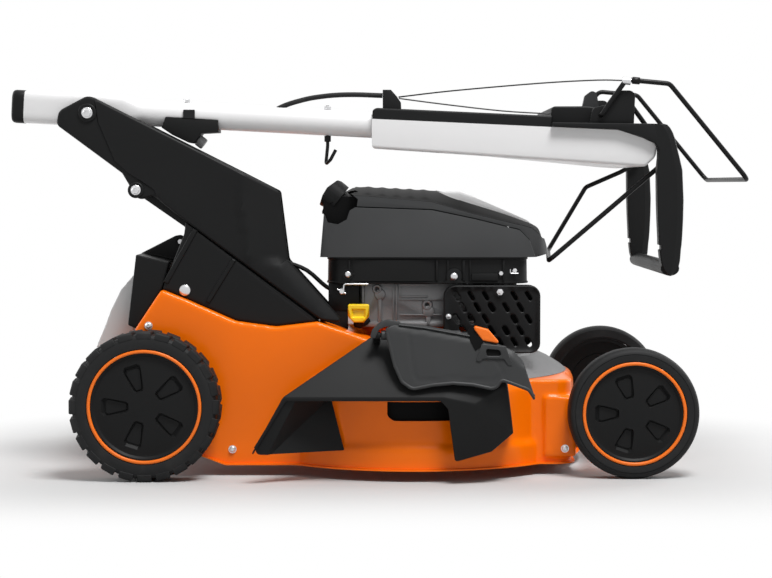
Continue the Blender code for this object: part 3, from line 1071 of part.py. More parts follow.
pod_outline = rounded([(0.2800, 0.5723, 0), (0.392, 0.5723, 0), (0.392, 0.5930, 0.006), (0.340, 0.6000, 0), (0.290, 0.5990, 0.008),
                       (0.280, 0.585, 0.004)], 2)
pod = prism("control_pod", pod_outline, "Y", -POD_HALF, POD_HALF, BLACK, bar_origin)
slot_y = SPEED_THICK / 2 + SLIDE
cut(pod, box("slot", (0.3260, SPEED_Y - slot_y, 0.5760), (0.3780, SPEED_Y + slot_y, 0.62)),
    box("hollow", (0.2850, SPEED_Y + 0.020, 0.5600), (0.3870, POD_HALF - 0.005, 0.5900)),
    rod("bore", (SPEED_PIVOT[0], SPEED_Y - 0.014, SPEED_PIVOT[1]), (SPEED_PIVOT[0], SPEED_Y + 0.014, SPEED_PIVOT[1]), 0.0025 + SEAT, 10))
speed_place = Vector((SPEED_PIVOT[0], SPEED_Y, SPEED_PIVOT[1]))
speed_body = body("speed_lever_body", speed_place, bar)
speed_outline = rounded([(0.340, 0.5780, 0.004), (0.3345, 0.5995, 0), (0.3385, 0.6180, 0.004), (0.350, 0.6265, 0.005), (0.3580, 0.6230, 0.004),
                         (0.3620, 0.5995, 0), (0.356, 0.5780, 0.004)], 2)
speed_lever = prism("speed_lever", speed_outline, "Y", SPEED_Y - SPEED_THICK / 2, SPEED_Y + SPEED_THICK / 2, GREY, speed_place)
join(speed_lever, rod("pin", (SPEED_PIVOT[0], SPEED_Y - 0.0125, SPEED_PIVOT[1]), (SPEED_PIVOT[0], SPEED_Y + 0.0125, SPEED_PIVOT[1]), 0.0025, 10))
hang(speed_body, speed_lever)

# Bails


def bail(name, near_leg, far_leg, leg_y, tip_y, place):
    """A bent rod whose turned ends sit in the ears; legs are given from pivot to crossbar."""
    points = [(near_leg[0][0], -tip_y, near_leg[0][1])]
    points += [(x, -leg_y, z) for x, z in near_leg]
    points += [(x, leg_y, z) for x, z in reversed(far_leg)]
    points += [(far_leg[0][0], tip_y, far_leg[0][1])]
    radii = [BAIL_RADIUS * 1.5] + [0.014] * (len(points) - 4) + [BAIL_RADIUS * 1.5]
    return sweep(name, bent(points, radii, 2), circle(BAIL_RADIUS, 8), BLACK_STEEL, place)


stop_place = Vector((STOP_PIVOT[0], 0.0, STOP_PIVOT[1]))
stop_leg = [STOP_PIVOT, (0.398, 0.641), (0.468, 0.6345), (0.5955, 0.480)]
stop_bail = bail("stop_bail", stop_leg, stop_leg, STOP_LEG_Y, GRIP_INNER + 0.0005, stop_place)
CLAMP_AT = Vector((0.3985, -STOP_LEG_Y, 0.6385))
join(stop_bail, rod("clamp", CLAMP_AT + Vector((-0.007, 0, 0.001)), CLAMP_AT + Vector((0.007, 0, -0.0005)), 0.0062, 10),
     rod("collar", (0.414, -STOP_LEG_Y, 0.6395), (0.428, -STOP_LEG_Y, 0.6382), 0.0062, 10))
stop_body = body("stop_bail_body", stop_place, bar)
hang(stop_body, stop_bail)

drive_place = Vector((DRIVE_PIVOT[0], 0.0, DRIVE_PIVOT[1]))
drive_near = [DRIVE_PIVOT, (0.473, 0.5150), (0.277, 0.3475)]
drive_far = [DRIVE_PIVOT, (0.473, 0.5150), (0.434, 0.4940), (0.372, 0.467), (0.304, 0.3520)]
drive_bail = bail("drive_bail", drive_near, drive_far, DRIVE_LEG_Y, EAR_OUTER - 0.0005, drive_place)
drive_body = body("drive_bail_body", drive_place, bar)
hang(drive_body, drive_bail)

# Cable bracket, hose and wires

BRACKET_X = 0.0046
bracket_outline = [(BRACKET_X, 0.5900), (BRACKET_X, 0.6256), (0.0180, 0.6256), (0.0279, 0.6145), (0.0344, 0.6046), (0.0351, 0.5900)]
bracket = prism("cable_bracket", bracket_outline, "Y", TUBE_Y - 0.018, TUBE_Y + 0.006, BLACK, bar_origin)
cut(bracket, prism("cover", [(-0.03, 0.50), (0.05, 0.50), (0.060, 0.5925 + SEAT), (-0.006, 0.5960 + SEAT), (-0.03, 0.5972 + SEAT)], "Y", -0.25, -0.1))
hose_route = [on_tube(HOSE_X, 0, 0.010), on_tube(HOSE_X, 0, 0.0225), on_tube(HOSE_X + 0.005, 0, 0.0285),
              on_tube(HOSE_X + 0.018, 0, 0.0310), (-0.120, TUBE_Y - 0.004, 0.6067),
              (-0.080, TUBE_Y - 0.007, 0.6097), (-0.040, TUBE_Y - 0.008, 0.6137), (BRACKET_X - SEAT, TUBE_Y - 0.008, 0.6155)]
cable_hose = sweep("cable_hose", smooth_path(hose_route, 3), circle(HOSE_RADIUS, 8), RUBBER, bar_origin)
wire_start = 0.0304
stop_route = [(wire_start, TUBE_Y - 0.011, 0.6140), (0.120, TUBE_Y - 0.018, 0.6240), (0.260, TUBE_Y - 0.029, 0.6355),
              (0.350, -STOP_LEG_Y, 0.6400), (CLAMP_AT.x - 0.0075, -STOP_LEG_Y, CLAMP_AT.z + 0.001)]
stop_wire = sweep("stop_wire", smooth_path(stop_route, 4), circle(0.0013, 6), BLACK_STEEL, bar_origin)
speed_route = [(wire_start + 0.0008, TUBE_Y - 0.002, 0.6122), (0.100, TUBE_Y + 0.004, 0.6035), (0.200, TUBE_Y + 0.012, 0.5925),
               (0.2800 - SEAT, TUBE_Y + 0.022, 0.5880)]
speed_wire = sweep("speed_wire", smooth_path(speed_route, 4), circle(0.0013, 6), BLACK_STEEL, bar_origin)

hang(bar, handle_tube, end_cap, clamp, rope_hook, shell, cover, grip, pod, bracket, cable_hose, stop_wire, speed_wire)

# The whole mower is moved sideways together, so that the origin is midway across it

for item in bpy.data.objects:
    if item.parent is None and item is not whole:
        item.parent = whole
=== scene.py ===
"""Visual model of a walk-behind lawn mower with its handlebar folded forward, laid out as an add-on.

Metres, +Z up, +X towards the front wheels. Lengths across the mower are measured from the middle of its
wheels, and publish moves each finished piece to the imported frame.
"""

import json
import math

import bmesh
import bpy
from mathutils import Matrix
from mathutils import Vector
from mathutils.geometry import delaunay_2d_cdt

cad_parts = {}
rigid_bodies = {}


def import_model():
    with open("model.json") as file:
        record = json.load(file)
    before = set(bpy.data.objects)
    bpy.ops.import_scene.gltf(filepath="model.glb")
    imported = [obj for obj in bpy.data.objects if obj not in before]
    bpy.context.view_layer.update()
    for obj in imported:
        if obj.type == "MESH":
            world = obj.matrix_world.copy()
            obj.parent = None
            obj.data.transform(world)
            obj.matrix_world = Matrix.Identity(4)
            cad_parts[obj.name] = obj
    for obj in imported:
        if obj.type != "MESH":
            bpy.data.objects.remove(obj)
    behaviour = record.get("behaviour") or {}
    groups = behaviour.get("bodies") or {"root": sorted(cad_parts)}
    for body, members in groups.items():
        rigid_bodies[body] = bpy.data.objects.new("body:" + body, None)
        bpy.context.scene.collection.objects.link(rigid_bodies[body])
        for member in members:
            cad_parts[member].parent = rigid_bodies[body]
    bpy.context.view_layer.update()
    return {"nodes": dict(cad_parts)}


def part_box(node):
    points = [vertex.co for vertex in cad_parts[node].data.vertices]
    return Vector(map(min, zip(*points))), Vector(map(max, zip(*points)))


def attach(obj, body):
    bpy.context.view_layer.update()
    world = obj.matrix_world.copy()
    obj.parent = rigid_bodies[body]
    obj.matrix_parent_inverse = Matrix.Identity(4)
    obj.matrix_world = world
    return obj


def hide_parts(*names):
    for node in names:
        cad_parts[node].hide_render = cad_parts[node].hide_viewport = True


for leftover in list(bpy.data.objects):
    bpy.data.objects.remove(leftover, do_unlink=True)

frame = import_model()

bl_info = {
    "name": "Walk-behind lawn mower",
    "version": (1, 0, 0),
    "blender": (4, 5, 0),
    "location": "3D View > Sidebar > Mower",
    "description": "Builds the dressed pieces of a lawn mower around its packed solids",
    "category": "Object",
}

NEAR_WAY = (0, -1, 0)
FAR_WAY = (0, 1, 0)
UP_WAY = (0, 0, 1)

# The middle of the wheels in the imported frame, which stands off the origin because of the side flap
MIDDLE = (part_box("rear_near_tyre")[0].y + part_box("rear_far_tyre")[1].y) / 2


def low(node):
    """A node's lowest corner, measured from the middle of the wheels."""
    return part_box(node)[0] - Vector((0.0, MIDDLE, 0.0))


def high(node):
    """A node's highest corner, measured from the middle of the wheels."""
    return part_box(node)[1] - Vector((0.0, MIDDLE, 0.0))


class Signal:
    """A shader socket that takes part in Python arithmetic."""

    def __init__(self, tree, socket=None):
        self.tree = tree
        self.socket = socket

    def node(self, kind, settings=None, inputs=None, output=0):
        """Add a node: its settings first, then the values or links of its sockets."""
        made = self.tree.nodes.new("ShaderNode" + kind)
        for key, value in (settings or {}).items():
            setattr(made, key, value)
        for key, value in (inputs or {}).items():
            if isinstance(value, Signal):
                self.tree.links.new(value.socket, made.inputs[key])
            else:
                made.inputs[key].default_value = value
        return Signal(self.tree, made.outputs[output])

    def math(self, operation, first, second):
        return self.node("Math", {"operation": operation}, {0: first, 1: second})

    def __add__(self, other):
        return self.math("ADD", self, other)

    __radd__ = __add__

    def __sub__(self, other):
        return self.math("SUBTRACT", self, other)

    def __rsub__(self, other):
        return self.math("SUBTRACT", other, self)

    def __mul__(self, other):
        return self.math("MULTIPLY", self, other)

    __rmul__ = __mul__

    def rise(self, start, end):
        """A soft step from 0 at start to 1 at end."""
        settings = {"interpolation_type": "SMOOTHSTEP"}
        return self.node("MapRange", settings, {"Value": self, "From Min": start, "From Max": end})

    def tint(self, none, full):
        """A colour between two, with this value as the share of the second."""
        return self.node("Mix", {"data_type": "RGBA"}, {0: self, 6: (*none, 1.0), 7: (*full, 1.0)}, 2)

    def noise(self, place, scale, detail=2.0, stretch=None):
        """Noise over the piece, between 0 and 1."""
        if stretch is not None:
            place = self.node("Mapping", None, {"Vector": place, "Scale": stretch})
        return self.node("TexNoise", None, {"Vector": place, "Scale": scale, "Detail": detail})


def shade(colour, factor):
    """A colour made darker or lighter."""
    return tuple(min(1.0, channel * factor) for channel in colour)


def new_finish(name, colour, roughness, metallic=0.0, coat=0.0, grain=0.0, grain_size=0.0007, spread=0.06,
               patch=0.06, waves=0.0, wave_size=0.006, brushed=None, dust=0.0, shine=0.5):
    """A finish with mottled colour, uneven gloss and a fine grain, all in metres of the piece itself."""
    material = bpy.data.materials.new("mower_" + name)
    material.use_nodes = True
    tree = material.node_tree
    shader = tree.nodes["Principled BSDF"]
    shader.inputs["Metallic"].default_value = metallic
    shader.inputs["Specular IOR Level"].default_value = shine
    shader.inputs["Coat Weight"].default_value = coat
    shader.inputs["Coat Roughness"].default_value = 0.12
    start = Signal(tree)
    place = start.node("TexCoord", None, None, 3)
    cloud = start.noise(place, 9.0, 4.0)
    speck = start.noise(place, 1.0 / grain_size, 2.0, brushed)
    mottle = (cloud - 0.5) * 1.6 + (speck - 0.5) * 0.6 + 0.5
    base = mottle.tint(shade(colour, 1.0 - patch), shade(colour, 1.0 + patch))
    gloss = roughness + (cloud - 0.5) * (spread * 2.0) + (speck - 0.5) * spread
    if dust > 0.0:
        film = start.noise(place, 26.0, 6.0).rise(0.48, 0.78) * dust
        base = start.node("Mix", {"data_type": "RGBA"}, {0: film, 6: base, 7: (0.09, 0.085, 0.08, 1.0)}, 2)
        gloss = gloss + film * 0.25
    tree.links.new(base.socket, shader.inputs["Base Color"])
    tree.links.new(gloss.socket, shader.inputs["Roughness"])
    height = speck * grain
    if waves > 0.0:
        height = height + start.noise(place, 1.0 / wave_size, 1.0) * waves
    bump = start.node("Bump", None, {"Strength": 1.0, "Distance": 1.0, "Height": height})
    tree.links.new(bump.socket, shader.inputs["Normal"])


def finish(name):
    """A finish by its name."""
    return bpy.data.materials["mower_" + name]


# Outlines


def arc(centre, radius, start, end, steps):
    """Points along an arc, both ends in, with angles in degrees."""
    points = []
    for step in range(steps + 1):
        angle = math.radians(start + (end - start) * step / steps)
        points.append((centre[0] + radius * math.cos(angle), centre[1] + radius * math.sin(angle)))
    return points


def circle(radius, count):
    """Points round a circle."""
    angles = [2 * math.pi * step / count for step in range(count)]
    return [(radius * math.cos(angle), radius * math.sin(angle)) for angle in angles]


def rounded(corners, steps=5):
    """An outline whose corners (x, y, radius) are rounded where the radius isn't zero."""
    outline = []
    count = len(corners)
    for index, corner in enumerate(corners):
        here = Vector(corner[:2])
        radius = corner[2] if len(corner) > 2 else 0.0
        if radius <= 0.0:
            outline.append((here.x, here.y))
            continue
        before = (Vector(corners[index - 1][:2]) - here).normalized()
        after = (Vector(corners[(index + 1) % count][:2]) - here).normalized()
        half = math.acos(max(-1.0, min(1.0, before.dot(after)))) / 2
        reach = radius / math.tan(half)
        middle = here + (before + after).normalized() * (radius / math.sin(half))
        first = here + before * reach - middle
        swing = first.angle_signed(here + after * reach - middle)
        for step in range(steps + 1):
            turned = first.copy()
            turned.rotate(Matrix.Rotation(-swing * step / steps, 2))
            outline.append((middle.x + turned.x, middle.y + turned.y))
    return outline


def offset(outline, distance):
    """An outline moved outwards by a distance, or inwards by a negative one."""
    count = len(outline)
    area = 0.0
    for index in range(count):
        here = outline[index]
        after = outline[(index + 1) % count]
        area += here[0] * after[1] - after[0] * here[1]
    side = 1.0 if area > 0 else -1.0
    moved = []
    for index in range(count):
        here = Vector(outline[index])
        before = (here - Vector(outline[index - 1])).normalized()
        after = (Vector(outline[(index + 1) % count]) - here).normalized()
        normal = Vector((before.y, -before.x)) * side
        blend = (normal + Vector((after.y, -after.x)) * side).normalized()
        reach = distance / max(0.35, blend.dot(normal))
        moved.append((here.x + blend.x * reach, here.y + blend.y * reach))
    return moved


def spaced(outline, step):
    """The same outline with points no further apart than step."""
    points = []
    for index, here in enumerate(outline):
        after = outline[(index + 1) % len(outline)]
        span = (Vector(after) - Vector(here)).length
        pieces = max(1, math.ceil(span / step))
        for part in range(pieces):
            share = part / pieces
            points.append((here[0] + (after[0] - here[0]) * share, here[1] + (after[1] - here[1]) * share))
    return points


def edge_distance(point, outline):
    """How far a point is from an outline."""
    best = 1e9
    x, y = point
    for index, (ax, ay) in enumerate(outline):
        bx, by = outline[(index + 1) % len(outline)]
        dx = bx - ax
        dy = by - ay
        length = dx * dx + dy * dy
        share = 0.0 if length == 0.0 else max(0.0, min(1.0, ((x - ax) * dx + (y - ay) * dy) / length))
        gap = math.hypot(x - ax - dx * share, y - ay - dy * share)
        best = min(best, gap)
    return best


def inside(point, outline):
    """Whether a point lies inside an outline."""
    x, y = point
    odd = False
    for index, (ax, ay) in enumerate(outline):
        bx, by = outline[index - 1]
        if (ay > y) != (by > y) and x < (bx - ax) * (y - ay) / (by - ay) + ax:
            odd = not odd
    return odd


# Forms added to a mesh builder


def spot(axis, a, b, along):
    """A point from its two in-plane coordinates and its place along an axis."""
    if axis == "X":
        return Vector((along, a, b))
    if axis == "Y":
        return Vector((a, along, b))
    return Vector((a, b, along))


def add_skin(builder, rings, caps=True):
    """Faces between rings of points, with both ends closed unless caps is off."""
    made = [[builder.verts.new(point) for point in ring] for ring in rings]
    count = len(made[0])
    for one, two in zip(made, made[1:]):
        for step in range(count):
            after = (step + 1) % count
            builder.faces.new((one[step], one[after], two[after], two[step]))
    if caps:
        builder.faces.new(made[0])
        builder.faces.new(made[-1])


def add_prism(builder, outline, axis, start, end):
    """A closed outline pushed along an axis."""
    add_skin(builder, [[spot(axis, a, b, along) for a, b in outline] for along in (start, end)])


def blend_knots(place, knots):
    """The value at a place along straight runs between knots (place, value)."""
    if place <= knots[0][0]:
        return knots[0][1]
    for one, two in zip(knots, knots[1:]):
        if place <= two[0]:
            return one[1] + (two[1] - one[1]) * (place - one[0]) / (two[0] - one[0])
    return knots[-1][1]


def merge(builder, other):
    """Move another builder's forms into this one."""
    bmesh.ops.recalc_face_normals(other, faces=other.faces)
    mesh = bpy.data.meshes.new("merged")
    other.to_mesh(mesh)
    other.free()
    builder.from_mesh(mesh)
    bpy.data.meshes.remove(mesh)


def add_box(builder, one, two):
    """A box between two corners."""
    outline = [(one[0], one[1]), (two[0], one[1]), (two[0], two[1]), (one[0], two[1])]
    add_prism(builder, outline, "Z", one[2], two[2])


def add_hull(builder, points):
    """The convex form round a set of points."""
    verts = [builder.verts.new(point) for point in points]
    result = bmesh.ops.convex_hull(builder, input=verts)
    spare = [item for item in result["geom_interior"] if isinstance(item, bmesh.types.BMVert)]
    bmesh.ops.delete(builder, geom=spare, context="VERTS")


def add_lathe(builder, profile, centre, axis, segments=48, turn=0.0):
    """A closed profile of (radius, distance along the axis) turned round an axis through centre."""
    direction = Vector(axis).normalized()
    swing = Vector((0.0, 0.0, 1.0)).rotation_difference(direction).to_matrix()
    rings = []
    for radius, along in profile:
        middle = Vector(centre) + direction * along
        if radius < 1e-6:
            rings.append([builder.verts.new(middle)] * segments)
            continue
        ring = []
        for step in range(segments):
            angle = turn + 2 * math.pi * step / segments
            local = Vector((radius * math.cos(angle), radius * math.sin(angle), 0.0))
            ring.append(builder.verts.new(middle + swing @ local))
        rings.append(ring)
    for index, one in enumerate(rings):
        two = rings[(index + 1) % len(rings)]
        for step in range(segments):
            after = (step + 1) % segments
            corners = list(dict.fromkeys((one[step], one[after], two[after], two[step])))
            if len(corners) > 2:
                builder.faces.new(corners)


def add_rod(builder, start, end, radius, segments=24, edge=0.0):
    """A straight round bar with its ends broken by edge."""
    span = (Vector(end) - Vector(start)).length
    profile = [(0.0, 0.0), (radius - edge, 0.0), (radius, edge), (radius, span - edge),
               (radius - edge, span), (0.0, span)]
    add_lathe(builder, profile, start, Vector(end) - Vector(start), segments)


def add_sweep(builder, path, section):
    """A section carried along a path without twist, closed at both ends."""
    points = [Vector(point) for point in path]
    tangents = []
    for index in range(len(points)):
        before = points[max(0, index - 1)]
        after = points[min(len(points) - 1, index + 1)]
        tangents.append((after - before).normalized())
    up = Vector((0.0, 0.0, 1.0))
    normal = up - tangents[0] * tangents[0].dot(up)
    if normal.length < 0.1:
        normal = tangents[0].orthogonal()
    normal.normalize()
    rings = []
    for index, point in enumerate(points):
        if index > 0:
            normal = tangents[index - 1].rotation_difference(tangents[index]) @ normal
        side = tangents[index].cross(normal)
        rings.append([point + side * a + normal * b for a, b in section])
    add_skin(builder, rings)


def bent(points, radii, steps=5):
    """A path whose inner corners are turned, each with its own bend radius."""
    path = [Vector(points[0])]
    for index in range(1, len(points) - 1):
        here = Vector(points[index])
        before = Vector(points[index - 1]) - here
        after = Vector(points[index + 1]) - here
        half = before.angle(after) / 2
        reach = min(radii[index - 1] / math.tan(half), before.length * 0.48, after.length * 0.48)
        radius = reach * math.tan(half)
        before.normalize()
        after.normalize()
        middle = here + (before + after).normalized() * (radius / math.sin(half))
        first = here + before * reach - middle
        swing = first.rotation_difference(here + after * reach - middle)
        for step in range(steps + 1):
            turned = first.copy()
            turned.rotate(Matrix.Rotation(swing.angle * step / steps, 3, swing.axis))
            path.append(middle + turned)
    path.append(Vector(points[-1]))
    return path


def smooth_path(points, steps=6):
    """A soft curve through the points."""
    knots = [Vector(point) for point in points]
    knots = [knots[0] * 2 - knots[1]] + knots + [knots[-1] * 2 - knots[-2]]
    path = []
    for index in range(1, len(knots) - 2):
        a, b, c, d = knots[index - 1:index + 3]
        for step in range(steps):
            t = step / steps
            path.append(0.5 * (2 * b + (c - a) * t + (2 * a - 5 * b + 4 * c - d) * t ** 2
                               + (3 * b - a - 3 * c + d) * t ** 3))
    path.append(knots[-2])
    return path


def add_panel(builder, outline, face, back, edge, step, relief=None, holes=(), creases=()):
    """An upright plate whose face rolls over at its edges and follows relief(x, z) towards the back."""
    inward = 1.0 if back > face else -1.0
    ring = spaced(outline, step)
    gaps = [spaced(hole, step) for hole in holes]
    loops = [ring] + gaps

    def clear(point):
        """Whether a point lies on the plate and in none of its holes."""
        return inside(point, ring) and not any(inside(point, gap) for gap in gaps)

    points = []
    borders = []
    for loop in loops:
        start = len(points)
        points.extend(loop)
        borders.append(list(range(start, len(points))))
    for number, loop in enumerate(loops):
        for share in (0.1, 0.35, 0.7, 1.0):
            reach = edge * share
            for point in offset(loop, -reach if number == 0 else reach):
                near = min(edge_distance(point, other) for other in loops)
                if near > reach * 0.93 and clear(point):
                    points.append(point)
    lines = []
    for crease in creases:
        start = len(points)
        fine = [crease[0]]
        for here, after in zip(crease, crease[1:]):
            pieces = max(1, math.ceil((Vector(after) - Vector(here)).length / step))
            fine += [tuple(Vector(here).lerp(Vector(after), part / pieces)) for part in range(1, pieces + 1)]
        fine = [point for point in fine if inside(point, ring)]
        points.extend(fine)
        lines += [(index, index + 1) for index in range(start, len(points) - 1)]
    xs = [point[0] for point in ring]
    ys = [point[1] for point in ring]
    rows = int((max(ys) - min(ys)) / step)
    for row in range(rows + 1):
        columns = int((max(xs) - min(xs)) / step)
        for column in range(columns + 1):
            point = (min(xs) + (column + 0.5 * (row % 2)) * step, min(ys) + (row + 0.5) * step)
            if not clear(point):
                continue
            if any(edge_distance(point, crease + crease[::-1]) < step * 0.5 for crease in creases):
                continue
            if min(edge_distance(point, other) for other in loops) > edge + step * 0.6:
                points.append(point)
    for border in borders:
        for index in range(len(border)):
            lines.append((border[index], border[(index + 1) % len(border)]))
    flat = delaunay_2d_cdt([Vector(point) for point in points], lines, borders, 1, 1e-6)
    kept = []
    for triangle in flat[2]:
        middle = sum((flat[0][corner] for corner in triangle), Vector((0.0, 0.0))) / len(triangle)
        if not any(inside(middle, gap) for gap in gaps):
            kept.append(tuple(triangle))
    front = {}
    rear = {}
    for corner in sorted({corner for triangle in kept for corner in triangle}):
        a, b = flat[0][corner]
        near = min(edge_distance((a, b), other) for other in loops)
        drop = 0.0
        if near < edge:
            drop = edge - math.sqrt(max(0.0, edge * edge - (edge - near) ** 2))
        if relief is not None:
            drop += relief(a, b)
        front[corner] = builder.verts.new((a, face + inward * drop, b))
        rear[corner] = builder.verts.new((a, back, b))
    rim = {}
    for triangle in kept:
        builder.faces.new([front[corner] for corner in triangle])
        builder.faces.new([rear[corner] for corner in reversed(triangle)])
        for index in range(len(triangle)):
            pair = (triangle[index], triangle[(index + 1) % len(triangle)])
            if (pair[1], pair[0]) in rim:
                del rim[(pair[1], pair[0])]
            else:
                rim[pair] = True
    for first, second in rim:
        builder.faces.new((front[first], front[second], rear[second], rear[first]))


def node_form(name):
    """A CAD node's own form, welded and cleaned of its triangles."""
    data = frame["nodes"][name].data
    part = bmesh.new()
    verts = [part.verts.new(vert.co - Vector((0.0, MIDDLE, 0.0))) for vert in data.vertices]
    for polygon in data.polygons:
        part.faces.new([verts[index] for index in polygon.vertices])
    bmesh.ops.remove_doubles(part, verts=part.verts, dist=2e-6)
    bmesh.ops.dissolve_limit(part, angle_limit=math.radians(0.6), verts=part.verts, edges=part.edges)
    mesh = bpy.data.meshes.new("copy")
    part.to_mesh(mesh)
    part.free()
    form = bmesh.new()
    form.from_mesh(mesh)
    bpy.data.meshes.remove(mesh)
    return form


def round_edges(builder, width, segments=2, angle=30.0, pick=None):
    """Round the edges that turn by more than an angle, or those of them that pick(middle) takes."""
    bmesh.ops.recalc_face_normals(builder, faces=builder.faces)
    limit = math.radians(angle)
    edges = []
    for edge in builder.edges:
        if len(edge.link_faces) != 2 or edge.calc_face_angle() < limit:
            continue
        one, two = (vert.co for vert in edge.verts)
        if pick is None or pick((one + two) / 2):
            edges.append(edge)
    bmesh.ops.bevel(builder, geom=edges, offset=width, offset_type="OFFSET", segments=segments, profile=0.5,
                    affect="EDGES", clamp_overlap=True)


def block(outline, axis, start, end, width=0.0, segments=2, angle=30.0):
    """An outline pushed along an axis, its edges rounded by width, as a builder of its own."""
    part = bmesh.new()
    add_prism(part, outline, axis, start, end)
    if width > 0.0:
        round_edges(part, width, segments, angle)
    return part


def brick(one, two, width=0.0):
    """A box between two corners, its edges rounded by width, as a builder of its own."""
    part = bmesh.new()
    add_box(part, one, two)
    if width > 0.0:
        round_edges(part, width)
    return part


def add_screw(builder, place, axis, radius):
    """A domed screw head on a washer, with a socket sunk into it."""
    height = 0.004
    washer = height * 0.3
    profile = [(0.0, 0.0), (radius * 1.25, 0.0), (radius * 1.25, washer), (radius, washer),
               (radius * 0.96, height * 0.6), (radius * 0.75, height * 0.9), (radius * 0.45, height),
               (radius * 0.4, height * 0.45), (0.0, height * 0.4)]
    add_lathe(builder, profile, place, axis, 20)


def add_dome(builder, place, axis, radius, height):
    """A smooth domed head."""
    profile = [(0.0, 0.0), (radius, 0.0), (radius, height * 0.35), (radius * 0.9, height * 0.65),
               (radius * 0.65, height * 0.88), (radius * 0.3, height * 0.98), (0.0, height)]
    add_lathe(builder, profile, place, axis, 24)


# Whole pieces


def shaped(builder, *modifiers):
    """The builder's mesh after modifiers, each given as its type and settings."""
    mesh = bpy.data.meshes.new("working")
    builder.to_mesh(mesh)
    builder.free()
    item = bpy.data.objects.new("working", mesh)
    bpy.context.scene.collection.objects.link(item)
    for kind, settings in modifiers:
        modifier = item.modifiers.new(kind, kind)
        for key, value in settings.items():
            setattr(modifier, key, value)
    bpy.context.view_layer.update()
    graph = bpy.context.evaluated_depsgraph_get()
    result = bpy.data.meshes.new_from_object(item.evaluated_get(graph))
    made = bmesh.new()
    made.from_mesh(result)
    bpy.data.objects.remove(item, do_unlink=True)
    bpy.data.meshes.remove(mesh)
    bpy.data.meshes.remove(result)
    return made


def sculpt(builder, voxel, passes, keep):
    """Overlapping forms fused into one skin whose edges are worn soft."""
    bmesh.ops.recalc_face_normals(builder, faces=builder.faces)
    return shaped(builder, ("REMESH", {"mode": "VOXEL", "voxel_size": voxel, "adaptivity": 0.0}),
                  ("SMOOTH", {"factor": 0.5, "iterations": passes}), ("DECIMATE", {"ratio": keep}))


def carve(builder, cutter, operation="DIFFERENCE"):
    """Take the cutter's form out of the builder's, or combine the two in another way."""
    bmesh.ops.recalc_face_normals(cutter, faces=cutter.faces)
    bmesh.ops.recalc_face_normals(builder, faces=builder.faces)
    mesh = bpy.data.meshes.new("cutter")
    cutter.to_mesh(mesh)
    cutter.free()
    tool = bpy.data.objects.new("cutter", mesh)
    bpy.context.scene.collection.objects.link(tool)
    made = shaped(builder, ("BOOLEAN", {"operation": operation, "solver": "EXACT", "object": tool}))
    bpy.data.objects.remove(tool, do_unlink=True)
    bpy.data.meshes.remove(mesh)
    return made


def flatten(builder, angle=0.6):
    """Join the flat faces of a form, so that only its real edges are left."""
    bmesh.ops.remove_doubles(builder, verts=builder.verts, dist=0.00001)
    bmesh.ops.dissolve_limit(builder, angle_limit=math.radians(angle), verts=builder.verts,
                             edges=builder.edges)


def crossed(side, half, plan, width=0.0, pick=None):
    """A side outline crossed with a plan, with its picked edges rounded."""
    form = block(side, "Y", -half, half)
    if plan:
        form = carve(form, block(plan, "Z", 0.4, 0.8), "INTERSECT")
        flatten(form)
    if width > 0.0:
        round_edges(form, width, 4, 25.0, pick)
    return form


def publish(name, builder, skin, body, replaced=(), smooth=32.0):
    """Turn the builder into a piece of the scene that rides on a body and stands for its nodes."""
    bmesh.ops.recalc_face_normals(builder, faces=builder.faces)
    bmesh.ops.translate(builder, verts=builder.verts, vec=(0.0, MIDDLE, 0.0))
    mesh = bpy.data.meshes.new(name)
    builder.to_mesh(mesh)
    builder.free()
    mesh.materials.append(finish(skin))
    mesh.shade_smooth()
    mesh.set_sharp_from_angle(angle=math.radians(smooth))
    piece = bpy.data.objects.new(name, mesh)
    bpy.context.scene.collection.objects.link(piece)
    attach(piece, body)
    if replaced:
        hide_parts(*replaced)
    return piece


# What a user may change


class MowerColours(bpy.types.PropertyGroup):
    """Colours of the mower's finishes."""

    paint: bpy.props.FloatVectorProperty(
        name="Deck paint", description="Powder coat of the pressed steel deck",
        subtype="COLOR", size=3, min=0.0, max=1.0, default=(0.93, 0.165, 0.0))
    accent: bpy.props.FloatVectorProperty(
        name="Rings and latch", description="Coloured plastic of the wheel rings and latch",
        subtype="COLOR", size=3, min=0.0, max=1.0, default=(0.86, 0.17, 0.012))
    black: bpy.props.FloatVectorProperty(
        name="Black plastic", description="Console, grips and controls",
        subtype="COLOR", size=3, min=0.0, max=1.0, default=(0.008, 0.0082, 0.0084))
    grey: bpy.props.FloatVectorProperty(
        name="Dark grey plastic", description="Engine hood, side guard and flap",
        subtype="COLOR", size=3, min=0.0, max=1.0, default=(0.027, 0.0278, 0.0285))
    white: bpy.props.FloatVectorProperty(
        name="Handle", description="Painted handle tube and its shell",
        subtype="COLOR", size=3, min=0.0, max=1.0, default=(0.68, 0.677, 0.68))
    light: bpy.props.FloatVectorProperty(
        name="Light grey plastic", description="Rear flap and hood inlay",
        subtype="COLOR", size=3, min=0.0, max=1.0, default=(0.66, 0.66, 0.66))
    rubber: bpy.props.FloatVectorProperty(
        name="Tyres", description="Rubber of the tyres",
        subtype="COLOR", size=3, min=0.0, max=1.0, default=(0.0105, 0.0108, 0.0112))
    yellow: bpy.props.FloatVectorProperty(
        name="Dipstick", description="Yellow plastic of the oil dipstick",
        subtype="COLOR", size=3, min=0.0, max=1.0, default=(0.86, 0.58, 0.006))


